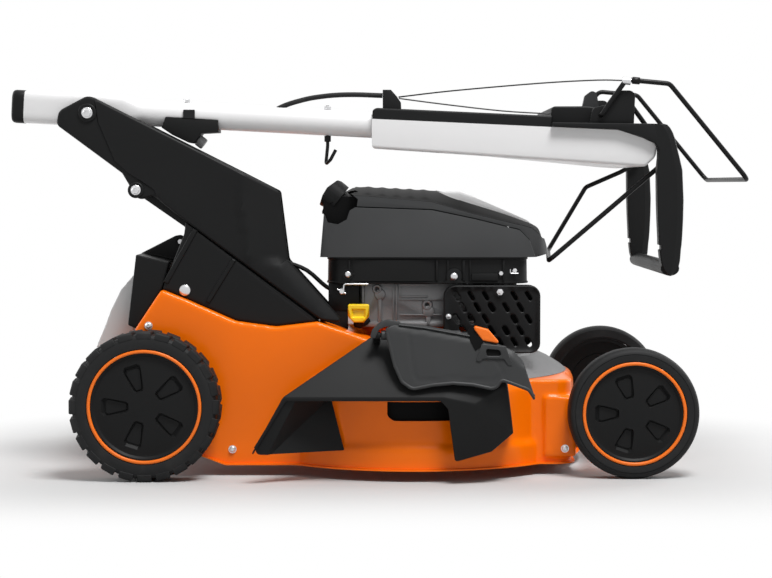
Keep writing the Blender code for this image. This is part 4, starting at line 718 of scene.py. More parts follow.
class MowerSizes(bpy.types.PropertyGroup):
    """Sizes of details that the solids leave open."""

    lug_count: bpy.props.IntProperty(
        name="Tyre lugs", description="Lugs round each row of a rear tyre",
        default=24, min=12, max=40)
    lug_depth: bpy.props.FloatProperty(
        name="Lug depth", description="How far the lugs stand up from the tyre",
        unit="LENGTH", default=0.0045, min=0.002, max=0.008)
    pocket_depth: bpy.props.FloatProperty(
        name="Pocket depth", description="Depth of the pockets in the rims",
        unit="LENGTH", default=0.0062, min=0.002, max=0.009)
    deck_gauge: bpy.props.FloatProperty(
        name="Deck gauge", description="Thickness of the deck's steel",
        unit="LENGTH", default=0.0025, min=0.001, max=0.005)
    deck_flange: bpy.props.FloatProperty(
        name="Deck flange", description="Width of the lip round the deck's lower edge",
        unit="LENGTH", default=0.0055, min=0.002, max=0.006)
    screw_radius: bpy.props.FloatProperty(
        name="Screw radius", description="Radius of the small screw heads",
        unit="LENGTH", default=0.0052, min=0.003, max=0.008)


class MowerStudio(bpy.types.PropertyGroup):
    """The plain studio that the mower stands in."""

    camera_distance: bpy.props.FloatProperty(
        name="Camera distance", description="From the camera to the mower's middle",
        unit="LENGTH", default=3.258, min=1.0, max=8.0)
    camera_height: bpy.props.FloatProperty(
        name="Camera height", description="Height of the camera above the floor",
        unit="LENGTH", default=0.4707, min=0.1, max=3.0)
    camera_pitch: bpy.props.FloatProperty(
        name="Camera pitch", description="How far the camera looks down",
        subtype="ANGLE", default=math.radians(3.15), min=0.0, max=0.8)
    lens: bpy.props.FloatProperty(
        name="Lens", description="Focal length of the camera",
        subtype="DISTANCE_CAMERA", default=88.0, min=30.0, max=200.0)
    key: bpy.props.FloatProperty(
        name="Key light", description="Power of the large lamp above and in front",
        subtype="POWER", default=168.0, min=0.0, max=500.0)
    top: bpy.props.FloatProperty(
        name="Top light", description="Power of the soft box above the mower",
        subtype="POWER", default=22.0, min=0.0, max=500.0)
    rim: bpy.props.FloatProperty(
        name="Rim light", description="Power of the lamps behind the mower",
        subtype="POWER", default=22.0, min=0.0, max=500.0)
    sky: bpy.props.FloatProperty(
        name="Room light", description="Strength of the even light of the room",
        default=0.22, min=0.0, max=2.0)
    floor: bpy.props.FloatVectorProperty(
        name="Floor", description="Colour of the floor",
        subtype="COLOR", size=3, min=0.0, max=1.0, default=(0.5, 0.5, 0.5))


# Finishes


class MOWER_OT_finishes(bpy.types.Operator):
    """Make the finishes and give them to the solids that stay in view"""

    bl_idname = "mower.finishes"
    bl_label = "Finishes"

    def execute(self, context):
        colours = context.scene.mower_colours
        new_finish("paint", colours.paint, 0.3, coat=0.12, grain=0.00001, grain_size=0.0009, patch=0.03,
                   waves=0.00002, wave_size=0.004, spread=0.05, shine=0.15)
        new_finish("accent", colours.accent, 0.36, grain=0.000008, patch=0.03, shine=0.3)
        new_finish("black", colours.black, 0.46, grain=0.00003, patch=0.1, shine=0.12)
        new_finish("grey", colours.grey, 0.44, grain=0.000025, patch=0.08, shine=0.22)
        new_finish("hood", shade(colours.grey, 1.45), 0.44, grain=0.000025, patch=0.08, shine=0.22)
        new_finish("knob", (0.34, 0.342, 0.345), 0.45, grain=0.00002, patch=0.05, shine=0.4)
        new_finish("white", colours.white, 0.34, coat=0.15, grain=0.000006, patch=0.012, waves=0.000008)
        new_finish("light", colours.light, 0.42, grain=0.000012, patch=0.02)
        new_finish("rubber", colours.rubber, 0.62, grain=0.00004, grain_size=0.0012, patch=0.12, dust=0.12,
                   shine=0.2)
        new_finish("yellow", colours.yellow, 0.36, grain=0.000008, patch=0.03)
        new_finish("zinc", (0.62, 0.62, 0.63), 0.3, metallic=1.0, grain=0.00001, patch=0.08, spread=0.1)
        new_finish("steel", (0.5, 0.5, 0.51), 0.34, metallic=1.0, grain=0.000012, patch=0.1, spread=0.12,
                   brushed=(0.08, 1.0, 1.0))
        new_finish("cast", (0.19, 0.19, 0.193), 0.52, metallic=0.7, grain=0.00006, grain_size=0.0011,
                   patch=0.09, spread=0.08)
        new_finish("wire", (0.0045, 0.0045, 0.0047), 0.36, grain=0.000006, patch=0.06, shine=0.15)
        new_finish("pressed", (0.0065, 0.0065, 0.0068), 0.42, grain=0.00002, patch=0.1, shine=0.15)
        # The deepest black: the hood top, its pocket and the muffler wear it as their own colour, while the
        # deck's slot baffle and the side flap's shadow patches wear it as painted shade.
        new_finish("deep_black_and_painted_shade", (0.0035, 0.0035, 0.0036), 0.55, grain=0.00003, patch=0.15, shine=0.06)
        names = {
            "deck_paint": "paint", "white_paint": "white", "white_plastic": "white", "black_plastic": "black",
            "grey_plastic": "grey", "light_plastic": "light", "orange_plastic": "accent",
            "yellow_plastic": "yellow", "rubber": "rubber", "steel": "steel", "black_steel": "wire",
            "aluminium": "cast",
        }
        for node in frame["nodes"].values():
            for entry in node.material_slots:
                entry.material = finish(names[entry.material.name])
        return {"FINISHED"}


# Wheels

REAR_RADIUS = 0.12
REAR_RING = 0.0857
POCKETS = 5
POCKET_TIP = 0.012


def wheel_pocket(outer):
    """Half outline of a rim's pocket as distances out and across, from the hub to the tip."""
    half = [(0.0255, 0.005), (0.029, 0.0078), (outer - 0.0085, 0.014), (outer - 0.0045, 0.014), (outer, 0.01)]
    near = [(reach, -across) for reach, across in half]
    return near + [(reach, across) for reach, across in reversed(half)]


def add_wheel(tag, side, axle_x, pocket_outer, sizes):
    """One wheel, side -1 near or +1 far, after the boxes of its CAD nodes."""
    tyre_low = low(tag + "_tyre")
    tyre_high = high(tag + "_tyre")
    radius = (tyre_high.x - tyre_low.x) / 2 if tag.startswith("front") else REAR_RADIUS
    width = tyre_high.y - tyre_low.y
    face = max(abs(tyre_low.y), abs(tyre_high.y))
    ring_low = low(tag + "_ring")
    ring_high = high(tag + "_ring")
    ring_outer = (ring_high.x - ring_low.x) / 2 + 0.0002
    ring_inner = ring_outer - 0.0052
    centre = Vector((axle_x, side * face, radius))
    inward = (0.0, -side, 0.0)
    body = tag + "_wheel"
    bore = ring_outer + 0.0003

    tyre = bmesh.new()
    if tag.startswith("rear"):
        crown = radius - sizes.lug_depth
        profile = [(bore, 0.003), (bore + 0.001, 0.0012), (bore + 0.003, 0.0006), (radius - 0.016, 0.0003),
                   (radius - 0.01, 0.0016), (crown - 0.0015, 0.005), (crown, 0.01), (crown, width - 0.01),
                   (crown - 0.0015, width - 0.005), (radius - 0.01, width - 0.0016), (radius - 0.016, width),
                   (bore + 0.003, width), (bore, width - 0.002)]
        add_lathe(tyre, profile, centre, inward, 120)
        lugs = bmesh.new()
        pitch = 2 * math.pi / sizes.lug_count
        for row, (start, end, shoulder) in enumerate(((0.0, 0.0255, True), (width - 0.0255, width, False))):
            for index in range(sizes.lug_count):
                middle = (index + 0.5 * row) * pitch
                points = []
                low_edge = 0.0006 if shoulder else start
                high_edge = end if shoulder else width - 0.0006
                for reach, near, far, half in ((radius - 0.0115, low_edge, high_edge, 0.4),
                                               (radius - 0.0022, low_edge, high_edge, 0.37),
                                               (radius, start + 0.003, end - 0.003, 0.34)):
                    for depth in (near, far):
                        for turn in (-half, half):
                            skew = 0.1 * pitch if depth == far else 0.0
                            angle = middle + turn * pitch + (skew if row else -skew)
                            spoke = (reach * math.cos(angle), -side * depth, reach * math.sin(angle))
                            points.append(centre + Vector(spoke))
                add_hull(lugs, points)
        round_edges(lugs, 0.0007, 1, 20.0)
        merge(tyre, lugs)
    else:
        profile = [(bore, 0.003), (bore + 0.001, 0.0012), (bore + 0.003, 0.0006), (radius - 0.0105, 0.0003),
                   (radius - 0.01, 0.0014), (radius - 0.0092, 0.0014), (radius - 0.0088, 0.0006),
                   (radius - 0.0055, 0.0014), (radius - 0.0025, 0.004), (radius - 0.0006, 0.0085),
                   (radius, 0.015), (radius, width - 0.015), (radius - 0.0006, width - 0.0085),
                   (radius - 0.0025, width - 0.004), (radius - 0.0055, width - 0.0014),
                   (bore + 0.003, width), (bore, width - 0.002)]
        add_lathe(tyre, profile, centre, inward, 144)
    publish(tag + "_tyre_tread", tyre, "rubber", body, [tag + "_tyre"], 28.0)

    scale = ring_inner / REAR_RING
    rim = bmesh.new()
    profile = [(0.0, 0.0046), (0.022, 0.0048), (0.05 * scale, 0.0054), (0.072 * scale, 0.0066),
               (0.0765 * scale, 0.0072), (0.0795 * scale, 0.007), (0.0828 * scale, 0.0044),
               (ring_inner - 0.0006, 0.004), (ring_inner - 0.0006, 0.007), (ring_outer, 0.007),
               (ring_outer, width - 0.004), (ring_outer - 0.006, width - 0.004),
               (ring_outer - 0.0068, 0.024), (0.06 * scale, 0.0225), (0.058 * scale, 0.0195),
               (0.026, 0.0185), (0.0205, 0.02), (0.02, width - 0.001), (0.0066, width - 0.001),
               (0.0064, 0.014), (0.0, 0.014)]
    add_lathe(rim, profile, centre, inward, 120)

    def pocket_loop(index, grow, depth, tip):
        """One loop of a pocket at a depth, drawn in by tip at its outer end."""
        angle = math.pi + 2 * math.pi * index / POCKETS
        out = Vector((math.cos(angle), 0.0, math.sin(angle)))
        across = Vector((-math.sin(angle), 0.0, math.cos(angle)))
        loop = []
        for reach, aside in offset(wheel_pocket(pocket_outer), grow):
            if reach > pocket_outer - POCKET_TIP:
                reach -= tip
            loop.append(centre + out * reach + across * aside + Vector((0.0, -side * depth, 0.0)))
        return loop

    floor = 0.0062 + sizes.pocket_depth
    cutter = bmesh.new()
    islands = bmesh.new()
    walls = ((0.0016, -0.001, 0.0), (0.0008, 0.005, 0.0), (0.0, 0.0062, 0.0),
             (-0.0004, floor - 0.0006, 0.005))
    raised = ((-0.0022, floor, 0.0048), (-0.0022, 0.0105, 0.0048), (-0.003, 0.0098, 0.0048))
    for index in range(POCKETS):
        add_skin(cutter, [pocket_loop(index, *level) for level in walls])
        add_skin(islands, [pocket_loop(index, *level) for level in raised])
    rim = carve(rim, cutter)
    merge(rim, islands)
    publish(tag + "_rim_face", rim, "black", body, [tag + "_rim"], 26.0)

    ring = bmesh.new()
    profile = [(ring_inner, 0.0064), (ring_inner, 0.0016), (ring_inner + 0.0005, 0.0007),
               (ring_inner + 0.0014, 0.0002), (ring_inner + 0.0026, 0.0), (ring_outer - 0.0014, 0.0002),
               (ring_outer - 0.0005, 0.0007), (ring_outer, 0.0016), (ring_outer, 0.0064)]
    add_lathe(ring, profile, centre, inward, 144)
    publish(tag + "_ring_band", ring, "accent", body, [tag + "_ring"], 50.0)


class MOWER_OT_wheels(bpy.types.Operator):
    """Make the four wheels, each a tyre, a rim with five pockets and a coloured ring"""

    bl_idname = "mower.wheels"
    bl_label = "Wheels"

    def execute(self, context):
        sizes = context.scene.mower_sizes
        for name, side in (("near", -1), ("far", 1)):
            rear = (low("rear_" + name + "_rim").x + high("rear_" + name + "_rim").x) / 2
            front = (low("front_" + name + "_rim").x + high("front_" + name + "_rim").x) / 2
            add_wheel("rear_" + name, side, rear, 0.069, sizes)
            add_wheel("front_" + name, side, front, 0.064, sizes)
        return {"FINISHED"}


# Deck

CRANK_X = 0.055
HOUSING = 0.285
DECK_LOW = 0.02
DECK_TOP = 0.155
DECK_HALF = 0.215
DECK_REAR = -0.397


class MOWER_OT_deck(bpy.types.Operator):
    """Press the orange steel deck, with its flange, shaft brackets and front corner pads"""

    bl_idname = "mower.deck"
    bl_label = "Deck"

    def execute(self, context):
        sizes = context.scene.mower_sizes
        shell = bmesh.new()
        side = [(DECK_REAR, -0.02), (DECK_REAR, 0.237), (-0.3536, 0.3018), (-0.3134, 0.2857),
                (-0.233, 0.2503), (-0.1686, 0.2414), (-0.1002, 0.2495), (-0.0141, 0.2197), (0.03, 0.165),
                (0.03, -0.02)]
        add_prism(shell, side, "Y", -DECK_HALF, DECK_HALF)
        drum = [(0.0, -0.02), (HOUSING, -0.02), (HOUSING, 0.05), (HOUSING - 0.006, 0.06),
                (HOUSING - 0.007, DECK_TOP - 0.014), (HOUSING - 0.014, DECK_TOP), (0.0, DECK_TOP)]
        add_lathe(shell, drum, (CRANK_X, 0.0, 0.0), UP_WAY, 96)
        add_prism(shell, rounded([(CRANK_X, -0.202, 0), (0.315, -0.202, 0.03), (0.315, 0.202, 0.03),
                                  (CRANK_X, 0.202, 0)], 6), "Z", -0.02, DECK_TOP)
        add_lathe(shell, [(0.0, 0.14), (0.135, 0.14), (0.135, 0.158), (0.125, 0.17), (0.125, 0.236),
                          (0.0, 0.236)], (CRANK_X, 0.0, 0.0), UP_WAY, 72)
        for turn in (-1, 1):
            ends = sorted((turn * 0.18, turn * 0.2075))
            add_prism(shell, rounded([(0.268, 0.03, 0), (0.3195, 0.03, 0), (0.3195, 0.127, 0.01),
                                      (0.268, 0.127, 0.004)], 3), "Y", *ends)
        shell = sculpt(shell, 0.003, 9, 0.4)
        level_cut = ((0.0, 0.0, DECK_LOW), (0.0, 0.0, 1.0))
        rear_cut = ((-0.25, 0.0, DECK_LOW), (0.55, 0.0, 1.47))
        for place, normal in (level_cut, rear_cut):
            geometry = list(shell.verts) + list(shell.edges) + list(shell.faces)
            bmesh.ops.bisect_plane(shell, geom=geometry, plane_co=place, plane_no=normal, clear_inner=True)
        rim = [edge for edge in shell.edges if edge.is_boundary]
        result = bmesh.ops.extrude_edge_only(shell, edges=rim)
        moved = [item for item in result["geom"] if isinstance(item, bmesh.types.BMVert)]
        shell.normal_update()
        for vert in moved:
            wall = Vector((0.0, 0.0, 0.0))
            for face in vert.link_faces:
                for other in face.verts:
                    for neighbour in other.link_faces:
                        if abs(neighbour.normal.z) < 0.7 and neighbour.calc_area() > 0.0:
                            level = Vector((neighbour.normal.x, neighbour.normal.y, 0.0))
                            wall += level * neighbour.calc_area()
            if wall.length > 0.0:
                vert.co += wall.normalized() * sizes.deck_flange
        shell = shaped(shell, ("SOLIDIFY", {"thickness": sizes.deck_gauge, "offset": -1.0}))
        cutter = bmesh.new()
        slot = rounded([(0.012, 0.127, 0), (0.012, 0.104, 0.009), (0.022, 0.0965, 0.009), (0.115, 0.0965, 0),
                        (0.115, 0.127, 0)], 4)
        add_prism(cutter, slot, "Y", -0.32, -0.22)
        add_box(cutter, (DECK_REAR - 0.02, -0.105, 0.1), (DECK_REAR + 0.03, 0.18, 0.262))
        add_lathe(cutter, [(0.0, 0.2), (0.0185, 0.2), (0.0185, 0.26), (0.0, 0.26)], (CRANK_X, 0.0, 0.0),
                  UP_WAY, 32)
        shell = carve(shell, cutter)
        lug = rounded([(0.295, 0.04, 0), (0.36, 0.05, 0.004), (0.376, 0.0595, 0.008), (0.376, 0.0815, 0.008),
                       (0.352, 0.0855, 0.008), (0.295, 0.115, 0)], 4)
        for turn in (-1, 1):
            ends = sorted((turn * 0.2045, turn * 0.197))
            add_prism(shell, lug, "Y", *ends)
        publish("deck_pressing", shell, "paint", "chassis", ["deck_shell"], 40.0)

        # A curved baffle behind the side slot, in the deepest black as painted shade, so that the slot reads
        # black like the shaded inside of the deck.
        shade_baffle = bmesh.new()
        rings = []
        for step in range(19):
            angle = math.radians(-104.0 + 34.0 * step / 18)
            across = Vector((math.cos(angle), math.sin(angle), 0.0))
            middle = Vector((CRANK_X, 0.0, 0.0))
            ring = []
            for reach, z in ((0.27, 0.09), (0.27, 0.133), (0.268, 0.135), (0.266, 0.133), (0.266, 0.09)):
                ring.append(middle + across * reach + Vector((0.0, 0.0, z)))
            rings.append(ring)
        add_skin(shade_baffle, rings)
        publish("deck_baffle_painted_shade", shade_baffle, "deep_black_and_painted_shade", "chassis")

        ring = bmesh.new()
        profile = [(0.165, 0.1845), (0.17, 0.188), (0.181, 0.1903), (0.195, 0.1896), (0.207, 0.1872),
                   (0.2095, 0.1838), (0.2135, 0.1834), (0.2165, 0.185), (0.235, 0.1763), (0.255, 0.164),
                   (0.2655, 0.1556), (0.261, 0.1556), (0.251, 0.16), (0.233, 0.1735), (0.204, 0.1815),
                   (0.181, 0.1875), (0.168, 0.182)]
        add_lathe(ring, profile, (CRANK_X, 0.0, 0.0), UP_WAY, 144)
        front = brick((0.105, -0.196, 0.1), (0.4, 0.196, 0.3))
        publish("deck_ring_cap", carve(ring, front, "INTERSECT"), "cast", "chassis", ["deck_ring"],
                30.0)

        screws = bmesh.new()
        radius = sizes.screw_radius
        for x, z, y in ((-0.3738, 0.2439, -DECK_HALF), (-0.239, 0.043, -DECK_HALF), (0.301, 0.043, -0.2075)):
            add_screw(screws, (x, y, z), NEAR_WAY, radius)
            add_screw(screws, (x, -y, z), FAR_WAY, radius)
        publish("deck_screws", screws, "zinc", "chassis")
        return {"FINISHED"}


# Console


def console_front(z):
    """Where the cheek's front edge is at a height."""
    if z > 0.461:
        return -0.163
    if z > 0.349:
        return -0.163 + (0.461 - z) / 0.112 * 0.014
    return -0.149 + (0.349 - z) / 0.1034 * 0.093


EAR_STEP = [(-0.4613, 0.618), (-0.4548, 0.5727), (-0.4289, 0.5112), (-0.4079, 0.4918), (-0.3658, 0.4642),
            (-0.35, 0.435)]
EAR_LINE = offset(EAR_STEP + [(-0.62, 0.4), (-0.62, 0.64)], -0.0016)[:6]


def cheek_relief(x, z):
    """How far the cheek's face falls away towards its front edge, and steps back at its ear."""
    if inside((x, z), EAR_STEP + [(-0.62, 0.4), (-0.62, 0.64)]):
        return 0.0018 * min(1.0, edge_distance((x, z), EAR_STEP + EAR_STEP[::-1]) / 0.0015)
    if z < 0.349:
        run = Vector((0.093, -0.1034)).normalized()
        gap = abs((x + 0.149) * run.y - (z - 0.349) * run.x)
        return max(0.0, 0.021 - gap) * 0.5
    share = (x - (console_front(z) - 0.066)) / 0.066
    if share <= 0.0:
        return 0.0
    return 0.0145 * min(share * share * 2.0, 2.0 * share - 0.5) / 1.5


CHEEK = [(-0.523, 0.568, 0.01), (-0.52, 0.5906, 0.016), (-0.471, 0.6165, 0.02), (-0.163, 0.461, 0.008),
         (-0.149, 0.349, 0.012), (-0.056, 0.2456, 0.005), (-0.097, 0.252, 0), (-0.3156, 0.4124, 0),
         (-0.367, 0.453, 0.006), (-0.392, 0.446, 0.012), (-0.4176, 0.49, 0.008)]
CHEEK_NEAR = (-0.2, -0.184)
CHEEK_FAR = (-0.12, -0.136)
FOLD = (-0.4727, 0.5873)
STOP = (-0.395, 0.4626)


class MOWER_OT_console(bpy.types.Operator):
    """Mould the console that carries the handle: two cheeks, the housing between them and their bolts"""

    bl_idname = "mower.console"
    bl_label = "Console"

    def execute(self, context):
        outline = rounded(CHEEK, 5)
        for name, (face, back) in (("near", CHEEK_NEAR), ("far", CHEEK_FAR)):
            cheek = bmesh.new()
            add_panel(cheek, outline, face, back, 0.0045, 0.009, cheek_relief, (), (EAR_STEP, EAR_LINE))
            direction = 1 if back > face else -1
            for centre, radius in ((FOLD, 0.015), (STOP, 0.013)):
                profile = [(0.0, 0.0), (radius, 0.0), (radius, 0.0012), (radius - 0.0012, 0.0022),
                           (0.0, 0.0022)]
                add_lathe(cheek, profile, (centre[0], face + direction * 0.0009, centre[1]),
                          (0, -direction, 0), 36)
            publish("console_cheek_" + name, cheek, "black", "chassis", ["console_arm_" + name],
                    38.0)

        housing = sculpt(node_form("console_housing"), 0.002, 4, 0.3)
        panel = [(-0.3536, 0.3022, 0.004), (-0.3134, 0.2862, 0), (-0.27, 0.2655, 0), (-0.233, 0.251, 0),
                 (-0.2, 0.244, 0), (-0.1686, 0.242, 0), (-0.135, 0.2448, 0), (-0.1002, 0.25, 0),
                 (-0.112, 0.26, 0), (-0.305, 0.4035, 0), (-0.312, 0.406, 0.003)]
        add_panel(housing, rounded(panel, 3), -0.1965, -0.15, 0.003, 0.01)
        for start, end, width in (((-0.299, 0.399), (-0.348, 0.312), 0.0045),
                                  ((-0.2364, 0.3507), (-0.28, 0.28), 0.004)):
            run = (Vector(end) - Vector(start)).normalized()
            across = Vector((-run.y, run.x)) * width
            ridge = [Vector(start) - across, Vector(end) - across, Vector(end) + across,
                     Vector(start) + across]
            add_panel(housing, [(point.x, point.y) for point in ridge], -0.2, -0.19, 0.0025, 0.006)
        publish("console_body", housing, "black", "chassis", ["console_housing"], 34.0)

        head = bmesh.new()
        add_dome(head, (-0.3165, -0.1965, 0.3003), NEAR_WAY, 0.0098, 0.006)
        add_dome(head, (-0.3165, -0.123, 0.3003), FAR_WAY, 0.0098, 0.006)
        publish("console_rivets", head, "zinc", "chassis")
        for node, (x, z), radius in (("pivot_bolt", FOLD, 0.0088), ("stop_bolt", STOP, 0.008)):
            bolt = bmesh.new()
            add_rod(bolt, (x, -0.201, z), (x, -0.119, z), 0.0055, 24)
            for y, direction in ((-0.2003, -1), (-0.1197, 1)):
                profile = [(0.0, 0.0), (radius, 0.0), (radius, 0.0014), (radius - 0.0006, 0.0018),
                           (0.0, 0.0018)]
                add_lathe(bolt, profile, (x, y, z), (0, direction, 0), 36)
                add_lathe(bolt, [(0.0, 0.0), (radius * 0.8, 0.0), (radius * 0.8, 0.0042),
                                 (radius * 0.7, 0.0048), (radius * 0.42, 0.0048), (radius * 0.4, 0.002),
                                 (0.0, 0.002)], (x, y, z), (0, direction, 0), 6)
            publish(node + "_head", bolt, "zinc", "chassis", [node], 25.0)
        return {"FINISHED"}


# Rear of the mower


class MOWER_OT_rear(bpy.types.Operator):
    """Make the rear frame and the light grey flap that closes the chute"""

    bl_idname = "mower.rear"
    bl_label = "Rear frame and flap"

    def execute(self, context):
        frame_form = sculpt(node_form("rear_frame"), 0.0016, 4, 0.25)
        publish("rear_frame_moulding", frame_form, "black", "chassis", ["rear_frame"])
        flap = sculpt(node_form("rear_flap"), 0.0015, 5, 0.25)
        publish("rear_flap_moulding", flap, "light", "rear_flap", ["rear_flap"], 45.0)
        return {"FINISHED"}


# Side guard and flap

HINGE_Y = -0.292
HINGE_Z = 0.2345
HINGE_LUG = [(-0.2976, 0.2345), (-0.2958, 0.239), (-0.291, 0.2401), (-0.256, 0.2325), (-0.256, 0.227),
             (-0.264, 0.219), (-0.296, 0.23)]


class MOWER_OT_guard(bpy.types.Operator):
    """Mould the side discharge guard"""

    bl_idname = "mower.guard"
    bl_label = "Side guard"

    def execute(self, context):
        node = node_form("side_guard")
        form = bmesh.new()
        add_hull(form, [vert.co for vert in node.verts if vert.co.z < 0.2195 or vert.co.y > -0.2625])
        flatten(form, 1.5)
        round_edges(form, 0.0035, 4, 20.0)
        guard = carve(node, form, "INTERSECT")
        for start, end in ((-0.01, 0.001), (0.129, 0.139)):
            merge(guard, block(HINGE_LUG, "X", start, end, 0.0008))
        add_rod(guard, (-0.005, HINGE_Y, HINGE_Z), (0.134, HINGE_Y, HINGE_Z), 0.003, 16)
        rim = [(-0.195, 0.0582), (-0.148, 0.1352), (0.0975, 0.1352), (0.1095, 0.1215), (0.1205, 0.04)]
        path = bent([(x, -0.316, z) for x, z in rim], [0.01, 0.012, 0.014], 6)
        add_sweep(guard, path, [(a * 0.75, b) for a, b in circle(0.0026, 14)])
        publish("side_guard_moulding", guard, "black", "chassis", ["side_guard"], 34.0)
        return {"FINISHED"}


FLAP_FACE = -0.3025
FLAP_LEAN = 0.22


def lean(builder):
    """Lean the flap outwards towards its lower edge."""
    for vert in builder.verts:
        vert.co.y += FLAP_LEAN * (vert.co.z - HINGE_Z)


FLAP_EDGE = [(0.008, 0.245, 0.005), (0.029, 0.2545, 0.006), (0.07, 0.25, 0), (0.137, 0.238, 0),
             (0.165, 0.231, 0), (0.209, 0.2115, 0.006), (0.225, 0.196, 0), (0.244, 0.136, 0.002),
             (0.24, 0.136, 0), (0.234, 0.15, 0), (0.19, 0.1655, 0.006), (0.1835, 0.1535, 0.005),
             (0.175, 0.1515, 0), (0.146, 0.1575, 0), (0.115, 0.1598, 0), (0.084, 0.157, 0),
             (0.051, 0.1508, 0.008), (0.035, 0.162, 0.006), (0.024, 0.187, 0)]


class MOWER_OT_flap(bpy.types.Operator):
    """Mould the side flap with its rim and pull, and the orange latch"""

    bl_idname = "mower.flap"
    bl_label = "Side flap"

    def execute(self, context):
        flap = bmesh.new()
        outline = rounded(FLAP_EDGE, 5)
        line = rounded([(0.044, 0.244, 0.004), (0.164, 0.225, 0.004), (0.196, 0.176, 0.006),
                        (0.176, 0.164, 0.006), (0.115, 0.169, 0), (0.056, 0.164, 0.01)], 4)
        top = [(0.008, 0.245), (0.029, 0.2545), (0.07, 0.25), (0.137, 0.238), (0.165, 0.231), (0.209, 0.2115),
               (0.225, 0.196)]

        def border(x, z):
            gap = edge_distance((x, z), line)
            fall = 0.0
            below = blend_knots(x, top) - z
            if below < 0.013:
                shadow_halo = min(1.0, max(0.0, (x - 0.014) / 0.02))
                fall = 0.0045 * shadow_halo * (1.0 - max(0.0, below) / 0.013) ** 1.3
            return 0.0011 * math.exp(-(gap / 0.0016) ** 2) + fall

        add_panel(flap, outline, FLAP_FACE, FLAP_FACE + 0.0075, 0.0018, 0.004, border)
        rim = [(0.0115, 0.238), (0.024, 0.187), (0.035, 0.162), (0.051, 0.1508), (0.084, 0.157),
               (0.115, 0.1598), (0.146, 0.1575), (0.175, 0.1515), (0.1835, 0.154), (0.19, 0.1655),
               (0.214, 0.157), (0.234, 0.1495), (0.241, 0.1385)]
        path = bent([(x, FLAP_FACE + 0.0018, z + 0.0018) for x, z in rim], [0.012] * 11, 3)
        add_sweep(flap, path, [(a * 0.9, b) for a, b in circle(0.0031, 14)])
        strip = [(0.03, FLAP_FACE + 0.003, 0.2515), (0.07, FLAP_FACE + 0.003, 0.247),
                 (0.137, FLAP_FACE + 0.003, 0.235), (0.15, FLAP_FACE + 0.003, 0.232)]
        add_sweep(flap, bent(strip, [0.02] * 2, 4), [(a * 2.2, b) for a, b in circle(0.0018, 14)])
        pull = bmesh.new()
        outer = rounded([(0.1603, 0.2225, 0.003), (0.1978, 0.219, 0.004), (0.2088, 0.1874, 0.001),
                         (0.201, 0.188, 0.001), (0.1945, 0.1985, 0.003), (0.1625, 0.199, 0.003),
                         (0.158, 0.194, 0.001), (0.1509, 0.1955, 0.001)], 4)
        gap = rounded([(0.1665, 0.2145, 0.003), (0.188, 0.2125, 0.004), (0.1915, 0.2035, 0.003),
                       (0.168, 0.2035, 0.003)], 4)
        add_panel(pull, outer, FLAP_FACE - 0.005, FLAP_FACE + 0.002, 0.0014, 0.0024,
                  lambda x, z: max(0.0, (0.212 - z)) * 0.16, [gap])
        merge(flap, pull)
        horn = rounded([(-0.0151, 0.2323, 0), (-0.012, 0.2433, 0.008), (0.0006, 0.2559, 0.01),
                        (0.0131, 0.26, 0.01), (0.032, 0.2559, 0.002), (0.0335, 0.25, 0.002),
                        (0.0084, 0.248, 0.006), (-0.001, 0.2435, 0.006), (-0.0073, 0.23, 0)], 4)
        merge(flap, block(horn, "Y", FLAP_FACE + 0.002, FLAP_FACE + 0.01, 0.001, 2, 60.0))
        # Deepest black patches behind the pull's hand hole and beside the latch: painted shadows on the
        # flap's face.
        shadows = bmesh.new()
        add_box(shadows, (0.163, FLAP_FACE - 0.0004, 0.2005), (0.194, FLAP_FACE + 0.001, 0.217))
        add_prism(shadows, rounded([(0.1399, 0.2437, 0.001), (0.1455, 0.2505, 0.001),
                                    (0.1634, 0.2257, 0.001), (0.16, 0.218, 0.001), (0.15, 0.211, 0.001),
                                    (0.143, 0.225, 0.002)], 3), "Y", FLAP_FACE - 0.001, FLAP_FACE + 0.003)
        lean(shadows)
        publish("side_flap_painted_shadows", shadows, "deep_black_and_painted_shade", "side_flap")
        lean(flap)
        add_rod(flap, (0.0025, HINGE_Y, HINGE_Z), (0.1275, HINGE_Y, HINGE_Z), 0.0075, 32, 0.001)
        publish("side_flap_moulding", flap, "grey", "side_flap", ["side_flap"], 40.0)
        latch = bmesh.new()
        corners = rounded([(0.144, 0.251, 0.003), (0.171, 0.244, 0.003), (0.187, 0.2255, 0.002),
                           (0.185, 0.2226, 0.001), (0.162, 0.2272, 0.003)], 4)
        add_panel(latch, corners, FLAP_FACE - 0.003, FLAP_FACE + 0.016, 0.0018, 0.003)
        publish("latch_slide", latch, "accent", "side_flap_latch", ["side_flap_latch"],
                40.0)
        return {"FINISHED"}


# Engine

HOOD_HALF = 0.17
HOOD_TOP = [(-0.098, 0.43), (-0.091, 0.438), (-0.078, 0.45), (-0.047, 0.466), (-0.03, 0.4675), (0.092, 0.461),
            (0.133, 0.461), (0.253, 0.4085), (0.2665, 0.401), (0.2805, 0.39)]
HOOD_BAND = [(-0.098, 0.424), (-0.085, 0.44), (-0.0473, 0.4543), (0.0853, 0.4429), (0.1476, 0.4248),
             (0.2508, 0.4003), (0.264, 0.3888), (0.27, 0.383)]
HOOD_MIDDLE = 0.09
HOOD_BACK = -0.0955
HOOD_FRONT = 0.269
HOOD_GROOVE = [(-0.098, 0.42), (-0.06, 0.4347), (-0.0489, 0.4347), (0.0852, 0.4298), (0.1556, 0.4151),
               (0.2292, 0.3971), (0.2455, 0.3807), (0.2553, 0.3535)]


def hood_edge(x):
    """Half the hood's width along its upper band."""
    half = HOOD_HALF - 0.002
    if x > 0.212:
        half -= 0.055 - math.sqrt(max(0.0, 0.055 ** 2 - (x - 0.212) ** 2))
    if x < -0.066:
        half -= 0.03 - math.sqrt(max(0.0, 0.03 ** 2 - (x + 0.066) ** 2))
    return half


